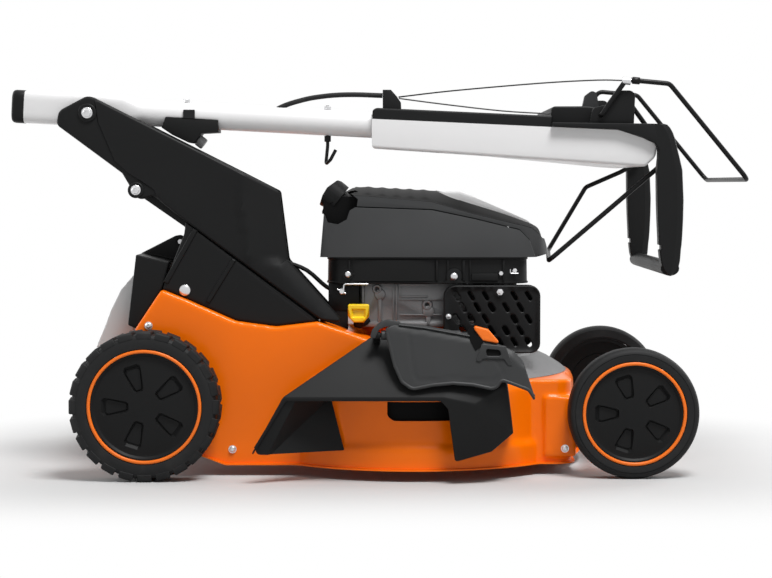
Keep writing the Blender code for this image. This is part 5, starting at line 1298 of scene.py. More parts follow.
def hood_crown(x, y):
    """Height of the hood's top, which falls away to both sides."""
    share = min(1.0, abs(y) / hood_edge(x))
    low_edge = blend_knots(x, HOOD_BAND) + 0.0008
    top = blend_knots(x, HOOD_TOP)
    rise = (1.0 - share ** 2.0) * 0.92
    if share > 0.9:
        rise *= 1.0 - ((share - 0.9) / 0.1) ** 3
    rise += 0.08 * (1.0 - share ** 6)
    return low_edge + (top - low_edge) * max(0.0, rise)


INLAY_EDGE = [(0.096, 0.01), (0.099, 0.052), (0.106, 0.086), (0.117, 0.11), (0.13, 0.122), (0.18, 0.112),
              (0.23, 0.095), (0.248, 0.086), (0.2535, 0.076)]
HOOD_POCKET = [(-0.0904, 0.4477), (-0.0707, 0.4592), (-0.046, 0.456), (-0.036, 0.4477), (-0.0377, 0.4361),
               (-0.0493, 0.4295), (-0.0542, 0.4147), (-0.069, 0.4065), (-0.0855, 0.4098), (-0.0921, 0.4263)]
FUEL_FACE = Vector((-0.0858, -0.13, 0.461))
FUEL_AXIS = Vector((-0.775, 0.0, 0.632)).normalized()


def tall_slot(x, z, tilt, half_width, half_length):
    """An upright slot with round ends, leaned by tilt in degrees."""
    run = Vector((math.sin(math.radians(tilt)), math.cos(math.radians(tilt))))
    start = math.degrees(math.atan2(run.y, run.x))
    middle = Vector((x, z))
    upper = middle + run * (half_length - half_width)
    lower = middle - run * (half_length - half_width)
    top = arc(upper, half_width, start - 90, start + 90, 4)
    return top + arc(lower, half_width, start + 90, start + 270, 4)


class MOWER_OT_hood(bpy.types.Operator):
    """Mould the engine hood: its grooved skirt, ribbed black top, light inlay and fuel cap"""

    bl_idname = "mower.hood"
    bl_label = "Engine hood"

    def execute(self, context):
        below = [(-0.13, 0.33), (-0.13, 0.408)] + HOOD_GROOVE + [(0.2563, 0.33)]
        above = [(-0.13, 0.41)] + [(x + 0.0006, z + 0.0016) for x, z in HOOD_GROOVE]
        above += [(0.2572, 0.33), (0.3, 0.33), (0.3, 0.376)]
        above += [(x, z + 0.0004) for x, z in reversed(HOOD_BAND)] + [(-0.13, 0.419)]
        behind = [(-0.13, 0.402)] + [(x - 0.001, z - 0.006) for x, z in HOOD_GROOVE[:-1]]
        behind += [(0.25, 0.33), (0.27, 0.33)]
        behind += [(x, z + 0.001) for x, z in reversed(HOOD_BAND)] + [(-0.13, 0.425)]
        skirt = bmesh.new()

        def beside_groove(middle):
            return middle.y < -0.15 and abs(middle.z - blend_knots(middle.x, HOOD_GROOVE)) < 0.004

        for outline, narrow in ((below, 1.0), (above, 0.9925), (behind, 0.98)):
            part = carve(node_form("engine_hood"), block(outline, "Y", -0.25, 0.25), "INTERSECT")
            flatten(part)
            for vert in part.verts:
                vert.co.y *= narrow
                vert.co.x = HOOD_MIDDLE + (vert.co.x - HOOD_MIDDLE) * narrow
            round_edges(part, 0.0008, 2, 50.0, beside_groove)
            merge(skirt, carve(part, block(HOOD_POCKET, "Y", -0.2, -0.15)))
        publish("hood_skirt", skirt, "hood", "chassis", ["engine_hood"], 30.0)

        top = bmesh.new()
        rings = []
        count = 44
        for station in range(151):
            x = HOOD_BACK + (HOOD_FRONT - HOOD_BACK) * station / 150
            half = hood_edge(x)
            low_edge = blend_knots(x, HOOD_BAND)
            ring = [Vector((x, half * 0.97, low_edge - 0.004)), Vector((x, -half * 0.97, low_edge - 0.004))]
            for step in range(count + 1):
                y = -half * math.cos(math.pi * step / count)
                z = hood_crown(x, y)
                phase = (x + 0.043) / 0.0235
                if 0.0 < phase < 5.6 and abs(y) < half - 0.012:
                    wave = 0.5 + 0.5 * math.cos(2 * math.pi * phase)
                    z += 0.0014 * wave ** 1.5 * min(1.0, (half - 0.012 - abs(y)) / 0.01)
                ring.append(Vector((x, y, z)))
            rings.append(ring)
        add_skin(top, rings)
        cutter = bmesh.new()
        add_rod(cutter, FUEL_FACE - FUEL_AXIS * 0.04, FUEL_FACE + FUEL_AXIS * 0.05, 0.0305, 48)
        top = carve(top, cutter)
        top = carve(top, block(HOOD_POCKET, "Y", -0.2, -0.15))
        publish("hood_top", top, "deep_black_and_painted_shade", "chassis", smooth=40.0)
        outline = [(x, min(z, 0.452)) for x, z in offset(HOOD_POCKET, 0.002)]
        pocket = block(outline, "Y", -0.152, -0.144, 0.0004, 1, 60.0)
        publish("hood_pocket", pocket, "deep_black_and_painted_shade", "chassis")

        inlay = bmesh.new()
        rings = []
        for step in range(41):
            x = 0.096 + (0.2535 - 0.096) * step / 40
            half = blend_knots(x, INLAY_EDGE)
            over = []
            under = []
            for part in range(25):
                y = -half + 2 * half * part / 24
                near = min(half - abs(y), x - 0.0955, 0.254 - x)
                lift = 0.002 * min(1.0, max(0.0, near) / 0.0025) ** 0.5
                over.append(Vector((x, y, hood_crown(x, y) + lift)))
                under.append(Vector((x, y, hood_crown(x, y) - 0.002)))
            rings.append(over + under[::-1])
        add_skin(inlay, rings)
        publish("hood_inlay_cap", inlay, "light", "chassis", ["hood_inlay"], 40.0)

        knob = bmesh.new()
        base = FUEL_FACE - FUEL_AXIS * 0.023
        add_lathe(knob, [(0.0, 0.0), (0.0262, 0.0), (0.0262, 0.005), (0.024, 0.0062), (0.0, 0.0062)], base,
                  FUEL_AXIS, 60)
        shape = rounded([(-0.1, 0.4378, 0.002), (-0.0945, 0.4541, 0.01), (-0.0869, 0.4668, 0.01),
                         (-0.07, 0.479, 0.004), (-0.056, 0.474, 0.004), (-0.048, 0.465, 0.003),
                         (-0.07, 0.447, 0), (-0.0935, 0.4352, 0.002)], 4)
        wing = block(shape, "Y", -0.1566, -0.1034, 0.005, 4, 50.0)
        room = bmesh.new()
        add_lathe(room, [(0.0, 0.0008), (0.0264, 0.0008), (0.0264, 0.03), (0.0, 0.03)], base, FUEL_AXIS, 60)
        merge(knob, carve(wing, room, "INTERSECT"))
        publish("fuel_cap_top", knob, "black", "fuel_cap", ["fuel_cap"], 40.0)

        grip = node_form("starter_grip")
        round_edges(grip, 0.003, 4, 40.0, lambda middle: middle.y > 0.173)
        publish("starter_handle", grip, "black", "starter", ["starter_grip"], 40.0)
        return {"FINISHED"}


BLOCK_FACE = -0.14
CASE_RIBS = ((0.0, 0.264, 0.003, 0.024, 0.004), (0.022, 0.274, 0.0012, 0.034, 0.0028),
             (0.0275, 0.274, 0.0012, 0.034, 0.0028), (0.068, 0.2815, 0.036, 0.0012, 0.0042),
             (0.068, 0.2565, 0.035, 0.0012, 0.0042), (0.08, 0.245, 0.004, 0.013, 0.004),
             (0.056, 0.306, 0.024, 0.0016, 0.0034), (0.033, 0.295, 0.0014, 0.01, 0.0034),
             (0.056, 0.2868, 0.023, 0.0014, 0.003), (-0.028, 0.274, 0.0016, 0.034, 0.0026))
BOLT_BOSSES = ((-0.0048, 0.2992, 0.0076), (0.0781, 0.273, 0.0086))


class MOWER_OT_engine(bpy.types.Operator):
    """Make the engine under the hood: blower housing, ribbed crankcase, linkage and dipstick"""

    bl_idname = "mower.engine"
    bl_label = "Engine"

    def execute(self, context):
        pan = bmesh.new()
        plan = rounded([(-0.088, -0.165, 0.035), (0.2455, -0.165, 0.035), (0.2455, 0.165, 0.035),
                        (-0.088, 0.165, 0.035)], 8)
        rings = []
        for z, grow in ((0.3092, -0.005), (0.3092, -0.0012), (0.31, 0.0), (0.3118, 0.0), (0.3126, -0.0016),
                        (0.348, -0.0022), (0.349, -0.0006), (0.3524, -0.0006), (0.3524, -0.005)):
            rings.append([Vector((x, y, z)) for x, y in offset(plan, grow)])
        add_skin(pan, rings)
        publish("blower_pan", pan, "black", "chassis", ["blower_housing"], 30.0)

        shroud = bmesh.new()
        rings = []
        for step in range(25):
            share = step / 24
            x = -0.044 + 0.1345 * share
            bulge = -0.1638 - 0.0042 * math.sin(math.pi * share) ** 0.6
            rings.append([Vector((x, bulge, 0.3135)), Vector((x, bulge, 0.348)), Vector((x, -0.16, 0.348)),
                          Vector((x, -0.16, 0.3135))])
        add_skin(shroud, rings)
        publish("blower_band", shroud, "black", "chassis", smooth=30.0)

        trim = bmesh.new()
        outline = arc((0.1216, 0.3214), 0.013, -30, 210, 20) + [(0.102, 0.31), (0.142, 0.31)]
        merge(trim, block(outline, "Y", -0.17, -0.16, 0.0012))
        for x, width in ((0.0935, 0.0018), (0.1115, 0.0014), (0.1375, 0.0022), (0.148, 0.0012),
                         (0.203, 0.0016), (-0.05, 0.0016)):
            merge(trim, brick((x - width, -0.1672, 0.314), (x + width, -0.16, 0.3478), 0.0006))
        step_and_shade_boxes = bmesh.new()
        add_box(step_and_shade_boxes, (0.15, -0.168, 0.314), (0.194, -0.16, 0.326))
        # The next two black blocks, left of and under the crankcase, are painted shade standing in for the
        # shadow under the blower housing.
        add_box(step_and_shade_boxes, (-0.085, -0.15, 0.264), (-0.0345, -0.118, 0.31))
        add_box(step_and_shade_boxes, (-0.098, -0.148, 0.226), (-0.053, -0.12, 0.266))
        round_edges(step_and_shade_boxes, 0.0015, 2, 30.0)
        merge(trim, step_and_shade_boxes)
        add_rod(trim, (-0.062, -0.164, 0.3247), (-0.042, -0.164, 0.3247), 0.0012, 10)
        add_lathe(trim, [(0.0, 0.0), (0.0088, 0.0), (0.0088, 0.003), (0.0, 0.003)],
                  (-0.0524, -0.163, 0.3247), NEAR_WAY, 28)
        publish("blower_fittings_and_shade_blocks", trim, "black", "chassis", smooth=30.0)

        bolts = bmesh.new()
        add_dome(bolts, (0.1216, -0.17, 0.3214), NEAR_WAY, 0.0064, 0.0042)
        add_dome(bolts, (-0.0524, -0.166, 0.3247), NEAR_WAY, 0.0052, 0.0032)
        for x, z in ((0.1987, 0.3263), (0.221, 0.331)):
            add_lathe(bolts, [(0.0, 0.0), (0.004, 0.0), (0.004, 0.0035), (0.0034, 0.0042), (0.0, 0.0042)],
                      (x, -0.164, z), NEAR_WAY, 6)
        add_sweep(bolts, bent([(0.214, -0.1668, 0.333), (0.214, -0.1668, 0.3262), (0.227, -0.1668, 0.3262)],
                              [0.0015], 4), circle(0.0009, 10))
        publish("blower_bolts", bolts, "zinc", "chassis", smooth=34.0)

        case = node_form("engine_block")
        round_edges(case, 0.0014, 2, 38.0, lambda middle: middle.y < -0.1)
        for x, z, half_x, half_z, depth in CASE_RIBS:
            merge(case, brick((x - half_x, BLOCK_FACE - depth, z - half_z),
                              (x + half_x, BLOCK_FACE + 0.002, z + half_z), min(half_x, half_z) * 0.45))
        for x, z, radius in BOLT_BOSSES:
            boss = [(0.0034, 0.0), (radius * 1.1, 0.0), (radius, 0.005), (radius - 0.0012, 0.0062),
                    (0.0046, 0.0062), (0.0034, 0.005)]
            add_lathe(case, boss, (x, BLOCK_FACE + 0.0008, z), NEAR_WAY, 32)
        publish("crankcase", case, "cast", "chassis", ["engine_block"], 32.0)
        shade_parts = bmesh.new()
        bolt = [(0.0, 0.0), (0.0033, 0.0), (0.0033, 0.0035), (0.0026, 0.0035), (0.0026, 0.001), (0.0, 0.001)]
        for x, z, radius in BOLT_BOSSES:
            add_lathe(shade_parts, bolt, (x, BLOCK_FACE, z), NEAR_WAY, 24)
        publish("crankcase_shadow_gaps", shade_parts, "grey", "chassis", smooth=34.0)

        link = bmesh.new()
        path = bent([(-0.06, -0.166, 0.299), (-0.059, -0.166, 0.3085), (-0.019, -0.166, 0.3085)], [0.004], 5)
        add_sweep(link, path, [(a * 0.9, b * 1.2) for a, b in circle(0.0011, 10)])
        add_lathe(link, [(0.0, 0.0), (0.0052, 0.0), (0.0052, 0.0018), (0.0038, 0.0034), (0.0, 0.0036)],
                  (-0.0625, -0.1625, 0.2965), NEAR_WAY, 24)
        add_rod(link, (-0.07, -0.164, 0.3), (-0.056, -0.164, 0.293), 0.0018, 12)
        publish("control_link", link, "zinc", "chassis", smooth=34.0)

        spout = node_form("dipstick_tube")
        round_edges(spout, 0.0008, 3, 40.0)
        publish("dipstick_spout", spout, "black", "chassis", ["dipstick_tube"], 40.0)
        can = node_form("muffler")
        round_edges(can, 0.006, 3, 40.0)
        publish("muffler_box", can, "deep_black_and_painted_shade", "chassis", ["muffler"], 40.0)
        stick = sculpt(node_form("dipstick"), 0.0006, 4, 0.3)
        one = low("dipstick")
        two = high("dipstick")
        middle = (one.x + two.x) / 2

        def thumb(x, z):
            gap = max(abs(x - middle) / 0.0115, abs(z - two.z + 0.015) / 0.0075)
            return 0.0042 * min(1.0, max(0.0, 1.0 - gap) / 0.22)

        plate = rounded([(one.x, two.z - 0.0066, 0.002), (one.x + 0.0004, two.z - 0.0006, 0.0018),
                         (two.x - 0.0004, two.z - 0.0006, 0.0018), (two.x, two.z - 0.0066, 0.002),
                         (two.x - 0.004, two.z - 0.024, 0.004), (middle + 0.007, two.z - 0.0292, 0.003),
                         (middle - 0.007, two.z - 0.0292, 0.003), (one.x + 0.004, two.z - 0.024, 0.004)], 4)
        add_panel(stick, plate, one.y - 0.0022, one.y + 0.006, 0.0016, 0.0012, thumb)
        publish("dipstick_paddle", stick, "yellow", "dipstick", ["dipstick"], 45.0)
        return {"FINISHED"}


GUARD_BOLT = (0.1967, 0.296)
GUARD_SCREW = (0.1125, 0.256)


class MOWER_OT_muffler(bpy.types.Operator):
    """Press the slotted muffler guard with its rolled rim and screws"""

    bl_idname = "mower.muffler"
    bl_label = "Muffler guard"

    def execute(self, context):
        one = low("muffler_guard")
        two = high("muffler_guard")
        face = one.y + 0.0002
        outline = rounded([(one.x + 0.0004, one.z + 0.0004, 0.016), (two.x - 0.0004, one.z + 0.0004, 0.016),
                           (two.x - 0.0004, two.z - 0.0004, 0.018), (one.x + 0.0004, two.z - 0.0004, 0.02)],
                          6)
        slots = []
        for row in range(5):
            for column in range(6):
                x = one.x + 0.022 + column * 0.0235 + (0.01 if row % 2 else 0.0)
                z = two.z - 0.018 - row * 0.019
                if x > two.x - 0.018:
                    continue
                if math.dist((x, z), GUARD_BOLT) < 0.016 or math.dist((x, z), GUARD_SCREW) < 0.014:
                    continue
                if abs(x - 0.199) < 0.014 and abs(z - 0.252) < 0.012:
                    continue
                slots.append(tall_slot(x, z, -32.0, 0.0028 if (row + column) % 3 else 0.0038, 0.0086))
        guard = bmesh.new()

        def rolled(x, z):
            gap = edge_distance((x, z), outline)
            groove = 0.003 * min(1.0, max(0.0, gap - 0.0042) / 0.003)
            boss = 0.0022 * max(0.0, 1.0 - max(0.0, math.dist((x, z), GUARD_BOLT) - 0.008) / 0.004)
            return max(0.0, groove - boss)

        add_panel(guard, outline, face, face + 0.0048, 0.0026, 0.0042, rolled, slots)
        wall = []
        for grow, depth in ((-0.0006, face + 0.003), (-0.0006, two.y - 0.0005), (-0.003, two.y - 0.0005),
                            (-0.003, face + 0.003)):
            wall.append([Vector((x, depth, z)) for x, z in offset(outline, grow)])
        add_skin(guard, wall + [wall[0]], False)
        bmesh.ops.remove_doubles(guard, verts=guard.verts, dist=1e-6)
        publish("muffler_guard_pressing", guard, "pressed", "chassis", ["muffler_guard"], 34.0)
        screws = bmesh.new()
        for (x, z), radius, count in ((GUARD_BOLT, 0.0056, 6), (GUARD_SCREW, 0.0044, 20)):
            add_lathe(screws, [(0.0, 0.0), (radius, 0.0), (radius, 0.0012), (radius * 0.8, 0.0012),
                               (radius * 0.74, 0.004), (radius * 0.5, 0.0046), (0.0, 0.0046)],
                      (x, face + 0.0004, z), NEAR_WAY, count)
        publish("muffler_guard_screws", screws, "zinc", "chassis", smooth=30.0)
        return {"FINISHED"}


# Handlebar

TUBE_Y = -0.16
TUBE_AT_FOLD = 0.5929
TUBE_POINTS = 56
TUBE_SLOPE = -0.0526
HANDLE_HALF = 0.19
SHELL_PLAN = [(-0.013, -0.19), (0.4525, -0.19), (0.4525, 0.19), (0.4, 0.19), (0.17, -0.13), (-0.013, -0.13)]
SHELL_SIDE = [(-0.013, 0.578), (0.385, 0.56), (0.419, 0.5515), (0.452, 0.544), (0.4478, 0.5165),
              (0.431, 0.5008), (-0.013, 0.531)]
COVER_SIDE = [(-0.012, 0.56), (-0.012, 0.592), (-0.006, 0.596), (0.06, 0.5925), (0.2783, 0.583),
              (0.2783, 0.56)]
GRIP_LEVELS = [(0.5698, 0.438, 0.46), (0.5685, 0.433, 0.465), (0.564, 0.432, 0.4695), (0.556, 0.433, 0.4742),
               (0.545, 0.44, 0.4782), (0.529, 0.45, 0.482), (0.515, 0.45, 0.4856), (0.495, 0.448, 0.4903),
               (0.4463, 0.4488, 0.4926), (0.416, 0.45, 0.4921), (0.3862, 0.4516, 0.4908),
               (0.3742, 0.452, 0.4899), (0.3732, 0.4553, 0.4898), (0.3668, 0.4555, 0.489),
               (0.3655, 0.453, 0.4888), (0.356, 0.454, 0.4882), (0.3472, 0.4552, 0.4874),
               (0.34, 0.4572, 0.4858), (0.333, 0.46, 0.4828), (0.327, 0.4645, 0.4785),
               (0.3235, 0.4695, 0.4735)]
GRIP_RAIL = [(0.2785, 0.5652), (0.385, 0.5604), (0.4253, 0.5474), (0.445, 0.538), (0.45, 0.544),
             (0.444, 0.57), (0.2785, 0.5719)]
GRIP_EAR = [(0.34, 0.57, 0), (0.345, 0.596, 0.01), (0.372, 0.602, 0), (0.386, 0.624, 0.01),
            (0.414, 0.624, 0.01), (0.412, 0.57, 0)]
POD_SIDE = [(0.28, 0.5723, 0), (0.392, 0.5723, 0), (0.392, 0.593, 0.006), (0.34, 0.6, 0),
            (0.281, 0.5998, 0.007)]
BAIL_RADIUS = 0.004
BAIL_BEND = 0.014


def tube_z(x):
    """Height of the handle tube's centre line."""
    return TUBE_AT_FOLD + TUBE_SLOPE * (x - FOLD[0])


def on_tube(x, dy=0.0, dz=0.0):
    """A point beside the handle tube's centre line."""
    return Vector((x, TUBE_Y + dy, tube_z(x) + dz))


def tube_ring(x, half_y, half_z, power):
    """A loop round the tube, square to it, between a circle and a rounded square."""
    ring = []
    for step in range(TUBE_POINTS):
        angle = 2 * math.pi * step / TUBE_POINTS
        c = math.cos(angle)
        s = math.sin(angle)
        u = half_y * math.copysign(abs(c) ** (2 / power), c)
        v = half_z * math.copysign(abs(s) ** (2 / power), s)
        ring.append(on_tube(x - TUBE_SLOPE * v, u, v))
    return ring


def bail_path(near_leg, far_leg, leg_y, tip_y):
    """The bent line of a bail, from one turned-in end to the other."""
    points = [(near_leg[0][0], -tip_y, near_leg[0][1])]
    points += [(x, -leg_y, z) for x, z in near_leg]
    points += [(x, leg_y, z) for x, z in reversed(far_leg)]
    points += [(far_leg[0][0], tip_y, far_leg[0][1])]
    radii = [BAIL_RADIUS * 1.5] + [BAIL_BEND] * (len(points) - 4) + [BAIL_RADIUS * 1.5]
    return bent(points, radii, 7)


class MOWER_OT_handle(bpy.types.Operator):
    """Make the folding handle's tube, its clamp, peg, hook, nuts and cable hose"""

    bl_idname = "mower.handle"
    bl_label = "Handle tube"

    def execute(self, context):
        pipe = bmesh.new()
        rings = [tube_ring(-0.5852, 0.02, 0.0246, 4.0), tube_ring(-0.5852, 0.021, 0.0262, 4.0)]
        rings += [tube_ring(x, 0.0212, 0.0264, 4.0) for x in (-0.584, -0.52, -0.46, -0.42)]
        for step in range(1, 14):
            share = step / 14
            soft = share * share * (3 - 2 * share)
            half_y = 0.0212 - 0.0002 * soft
            half_z = 0.0264 - 0.0054 * soft
            rings.append(tube_ring(-0.42 + 0.036 * share, half_y, half_z, 4.0 - 2.0 * soft ** 0.5))
        rings += [tube_ring(x, 0.021, 0.021, 2.0) for x in (-0.384, -0.2, 0.109)]
        add_skin(pipe, rings)
        publish("handle_pipe", pipe, "white", "handlebar", ["handle_tube"], 40.0)

        cap = bmesh.new()
        rings = [tube_ring(x, 0.0216 - inset, 0.027 - inset, 4.0)
                 for x, inset in ((-0.578, 0.002), (-0.5785, 0.0004), (-0.5795, 0.0), (-0.593, 0.0),
                                  (-0.596, 0.0008), (-0.598, 0.0026), (-0.599, 0.005))]
        add_skin(cap, rings)
        publish("handle_end_cap", cap, "black", "handlebar", ["tube_end_cap"], 40.0)

        clamp = node_form("tube_clamp")
        round_edges(clamp, 0.0012, 2, 50.0,
                    lambda middle: middle.y < -0.17 and abs(middle.z - tube_z(middle.x)) > 0.004)
        publish("handle_clamp", clamp, "black", "handlebar", ["tube_clamp"], 34.0)

        stay = node_form("cable_bracket")
        round_edges(stay, 0.001, 2, 40.0, lambda middle: middle.z > 0.598)
        publish("cable_stay", stay, "black", "handlebar", ["cable_bracket"], 34.0)

        peg = bmesh.new()
        axis = Vector((0.79, 0.0, -0.613)).normalized()
        seat = Vector((-0.298, TUBE_Y, 0.5452))
        add_lathe(peg, [(0.0, -0.0135), (0.0045, -0.0135), (0.0045, 0.001), (0.0086, 0.001),
                        (0.0092, 0.0018), (0.0092, 0.012), (0.0084, 0.0136), (0.004, 0.0138), (0.0, 0.0138)],
                  seat, axis, 40)
        aside = Vector((0.0, 1.0, 0.0))
        ridges = bmesh.new()
        for index in range(14):
            angle = 2 * math.pi * index / 14
            foot = seat + (aside * math.cos(angle) + axis.cross(aside) * math.sin(angle)) * 0.0087
            add_rod(ridges, foot + axis * 0.0022, foot + axis * 0.0118, 0.0008, 8, 0.0003)
        merge(peg, ridges)
        publish("release_knob", peg, "knob", "release_peg", ["release_peg"], 40.0)

        hook_x = -0.0855
        hook_top = tube_z(hook_x) + 0.021
        hook = bmesh.new()
        path = bent([(hook_x, TUBE_Y, hook_top + 0.007), (hook_x, TUBE_Y, 0.535),
                     (-0.0885, TUBE_Y - 0.001, 0.505), (-0.0805, TUBE_Y - 0.015, 0.512),
                     (-0.072, TUBE_Y - 0.0125, 0.528)], [0.004, 0.003, 0.003], 6)
        add_sweep(hook, path, circle(0.0028, 18))
        add_lathe(hook, [(0.0, 0.0), (0.0054, 0.0), (0.0054, 0.009), (0.0046, 0.0098), (0.0, 0.0098)],
                  (hook_x, TUBE_Y, tube_z(hook_x) - 0.0213), (0, 0, -1), 24)
        publish("rope_eye", hook, "wire", "handlebar", ["rope_hook"], 40.0)

        nuts = bmesh.new()
        for x, radius, height in ((hook_x, 0.0059, 0.0062), (-0.3166, 0.0062, 0.0056)):
            base = tube_z(x) + 0.0209
            add_lathe(nuts, [(0.0, 0.0), (radius, 0.0), (radius, height - 0.001), (radius - 0.0012, height),
                             (0.003, height), (0.0028, height - 0.0012), (0.0, height - 0.0012)],
                      (x, TUBE_Y, base), UP_WAY, 6, math.radians(20))
        publish("handle_nuts", nuts, "zinc", "handlebar", smooth=25.0)

        hose = bmesh.new()
        route = [on_tube(-0.174, 0, 0.012), on_tube(-0.166, 0, 0.019), on_tube(-0.152, 0, 0.026),
                 (-0.134, -0.162, 0.6075), (-0.11, -0.164, 0.613), (-0.076, -0.167, 0.617),
                 (-0.04, -0.168, 0.618), (0.0043, -0.168, 0.6165)]
        add_sweep(hose, smooth_path(route, 7), circle(0.0041, 18))
        publish("control_hose", hose, "rubber", "handlebar", ["cable_hose"], 50.0)
        return {"FINISHED"}


class MOWER_OT_grip(bpy.types.Operator):
    """Mould the handle's shell, cover, grip loop and control pod, and bend the two bails"""

    bl_idname = "mower.grip"
    bl_label = "Grip and controls"

    def execute(self, context):
        shell = crossed(SHELL_SIDE, HANDLE_HALF, SHELL_PLAN, 0.005, lambda middle: middle.z < 0.541)
        trough = [(-0.05, 0.7), (0.43, 0.7), (0.4385, 0.53), (0.423, 0.5046), (-0.05, 0.535)]
        shell = carve(shell, crossed(trough, HANDLE_HALF, offset(SHELL_PLAN, -0.004)))
        publish("handle_trough", shell, "white", "handlebar", ["handle_shell"], 34.0)
        form = crossed(COVER_SIDE, HANDLE_HALF, offset(SHELL_PLAN, -0.0005), 0.0032,
                       lambda middle: middle.z > 0.5832 and middle.x < 0.27)
        cover = carve(node_form("handle_cover"), form, "INTERSECT")
        publish("handle_lid", cover, "black", "handlebar", ["handle_cover"], 34.0)
        pod = crossed(rounded(POD_SIDE, 5), 0.155, None, 0.003, lambda middle: middle.z > 0.574)
        pod = carve(pod, brick((0.326, -0.1285, 0.576), (0.378, -0.1155, 0.62)))
        publish("control_case", pod, "black", "handlebar", ["control_pod"], 34.0)

        grip = bmesh.new()
        for start, end in ((-0.202, -0.178), (0.178, 0.202)):
            bar = bmesh.new()
            rings = []
            for z, back, front in GRIP_LEVELS:
                slope = min(0.01, (front - back) * 0.4)
                ring = [(back + 0.0004, start + 0.0022), (back + 0.0024, start + 0.0003),
                        (front - slope - 0.0006, start), (front - slope, start + 0.0003),
                        (front - 0.0012, start + 0.0048), (front, start + 0.007)]
                ring += [(x, start + end - y) for x, y in reversed(ring)]
                rings.append([Vector((x, y, z)) for x, y in ring])
            add_skin(bar, rings)
            merge(grip, bar)
            merge(grip, block(GRIP_RAIL, "Y", start, end, 0.0018, 3, 60.0))
        base = [(0.2786, 0.5653), (0.376, 0.5609), (0.376, 0.5718), (0.2786, 0.5718)]
        merge(grip, block(base, "Y", -0.18, 0.18, 0.001, 2, 60.0))
        for start, end in ((-0.19, -0.178), (0.178, 0.19)):
            merge(grip, block(rounded(GRIP_EAR, 5), "Y", start, end, 0.0015, 3, 60.0))
        bar = [(0.4712 + 0.015 * a, 0.3355 + 0.0118 * b) for a, b in circle(1.0, 36)]
        merge(grip, block(bar, "Y", -0.196, 0.196))
        publish("grip_frame", grip, "black", "handlebar", ["grip_loop"], 24.0)

        stop = bmesh.new()
        leg = [(0.358, 0.584), (0.398, 0.6408), (0.468, 0.6343), (0.5955, 0.48)]
        add_sweep(stop, bail_path(leg, leg, 0.197, 0.1785), circle(BAIL_RADIUS, 20))
        add_rod(stop, (0.4075, -0.197, 0.6398), (0.42, -0.197, 0.6386), 0.0058, 24, 0.0008)
        publish("stop_bail_rod", stop, "wire", "stop_bail", ["stop_bail"], 50.0)
        ferrule = bmesh.new()
        at = Vector((0.3985, -0.197, 0.6385))
        add_rod(ferrule, at + Vector((-0.0068, 0, 0.001)), at + Vector((0.0068, 0, -0.0005)), 0.0061, 24,
                0.0008)
        publish("stop_bail_ferrules", ferrule, "zinc", "stop_bail", smooth=40.0)

        drive = bmesh.new()
        near = [(0.402, 0.612), (0.473, 0.515), (0.277, 0.3475)]
        far = [(0.402, 0.612), (0.473, 0.515), (0.434, 0.494), (0.372, 0.467), (0.304, 0.352)]
        add_sweep(drive, bail_path(near, far, 0.168, 0.1895), circle(BAIL_RADIUS, 20))
        publish("drive_bail_rod", drive, "wire", "drive_bail", ["drive_bail"], 50.0)
        return {"FINISHED"}


# Stage


def seen_rays(start):
    """One where the camera looks, also in gloss and through glass."""
    camera_ray = start.node("LightPath", None, None, 0)
    glossy_ray = Signal(start.tree, camera_ray.socket.node.outputs["Is Glossy Ray"])
    through_ray = Signal(start.tree, camera_ray.socket.node.outputs["Is Transmission Ray"])
    return start.math("MINIMUM", camera_ray + glossy_ray + through_ray, 1.0)


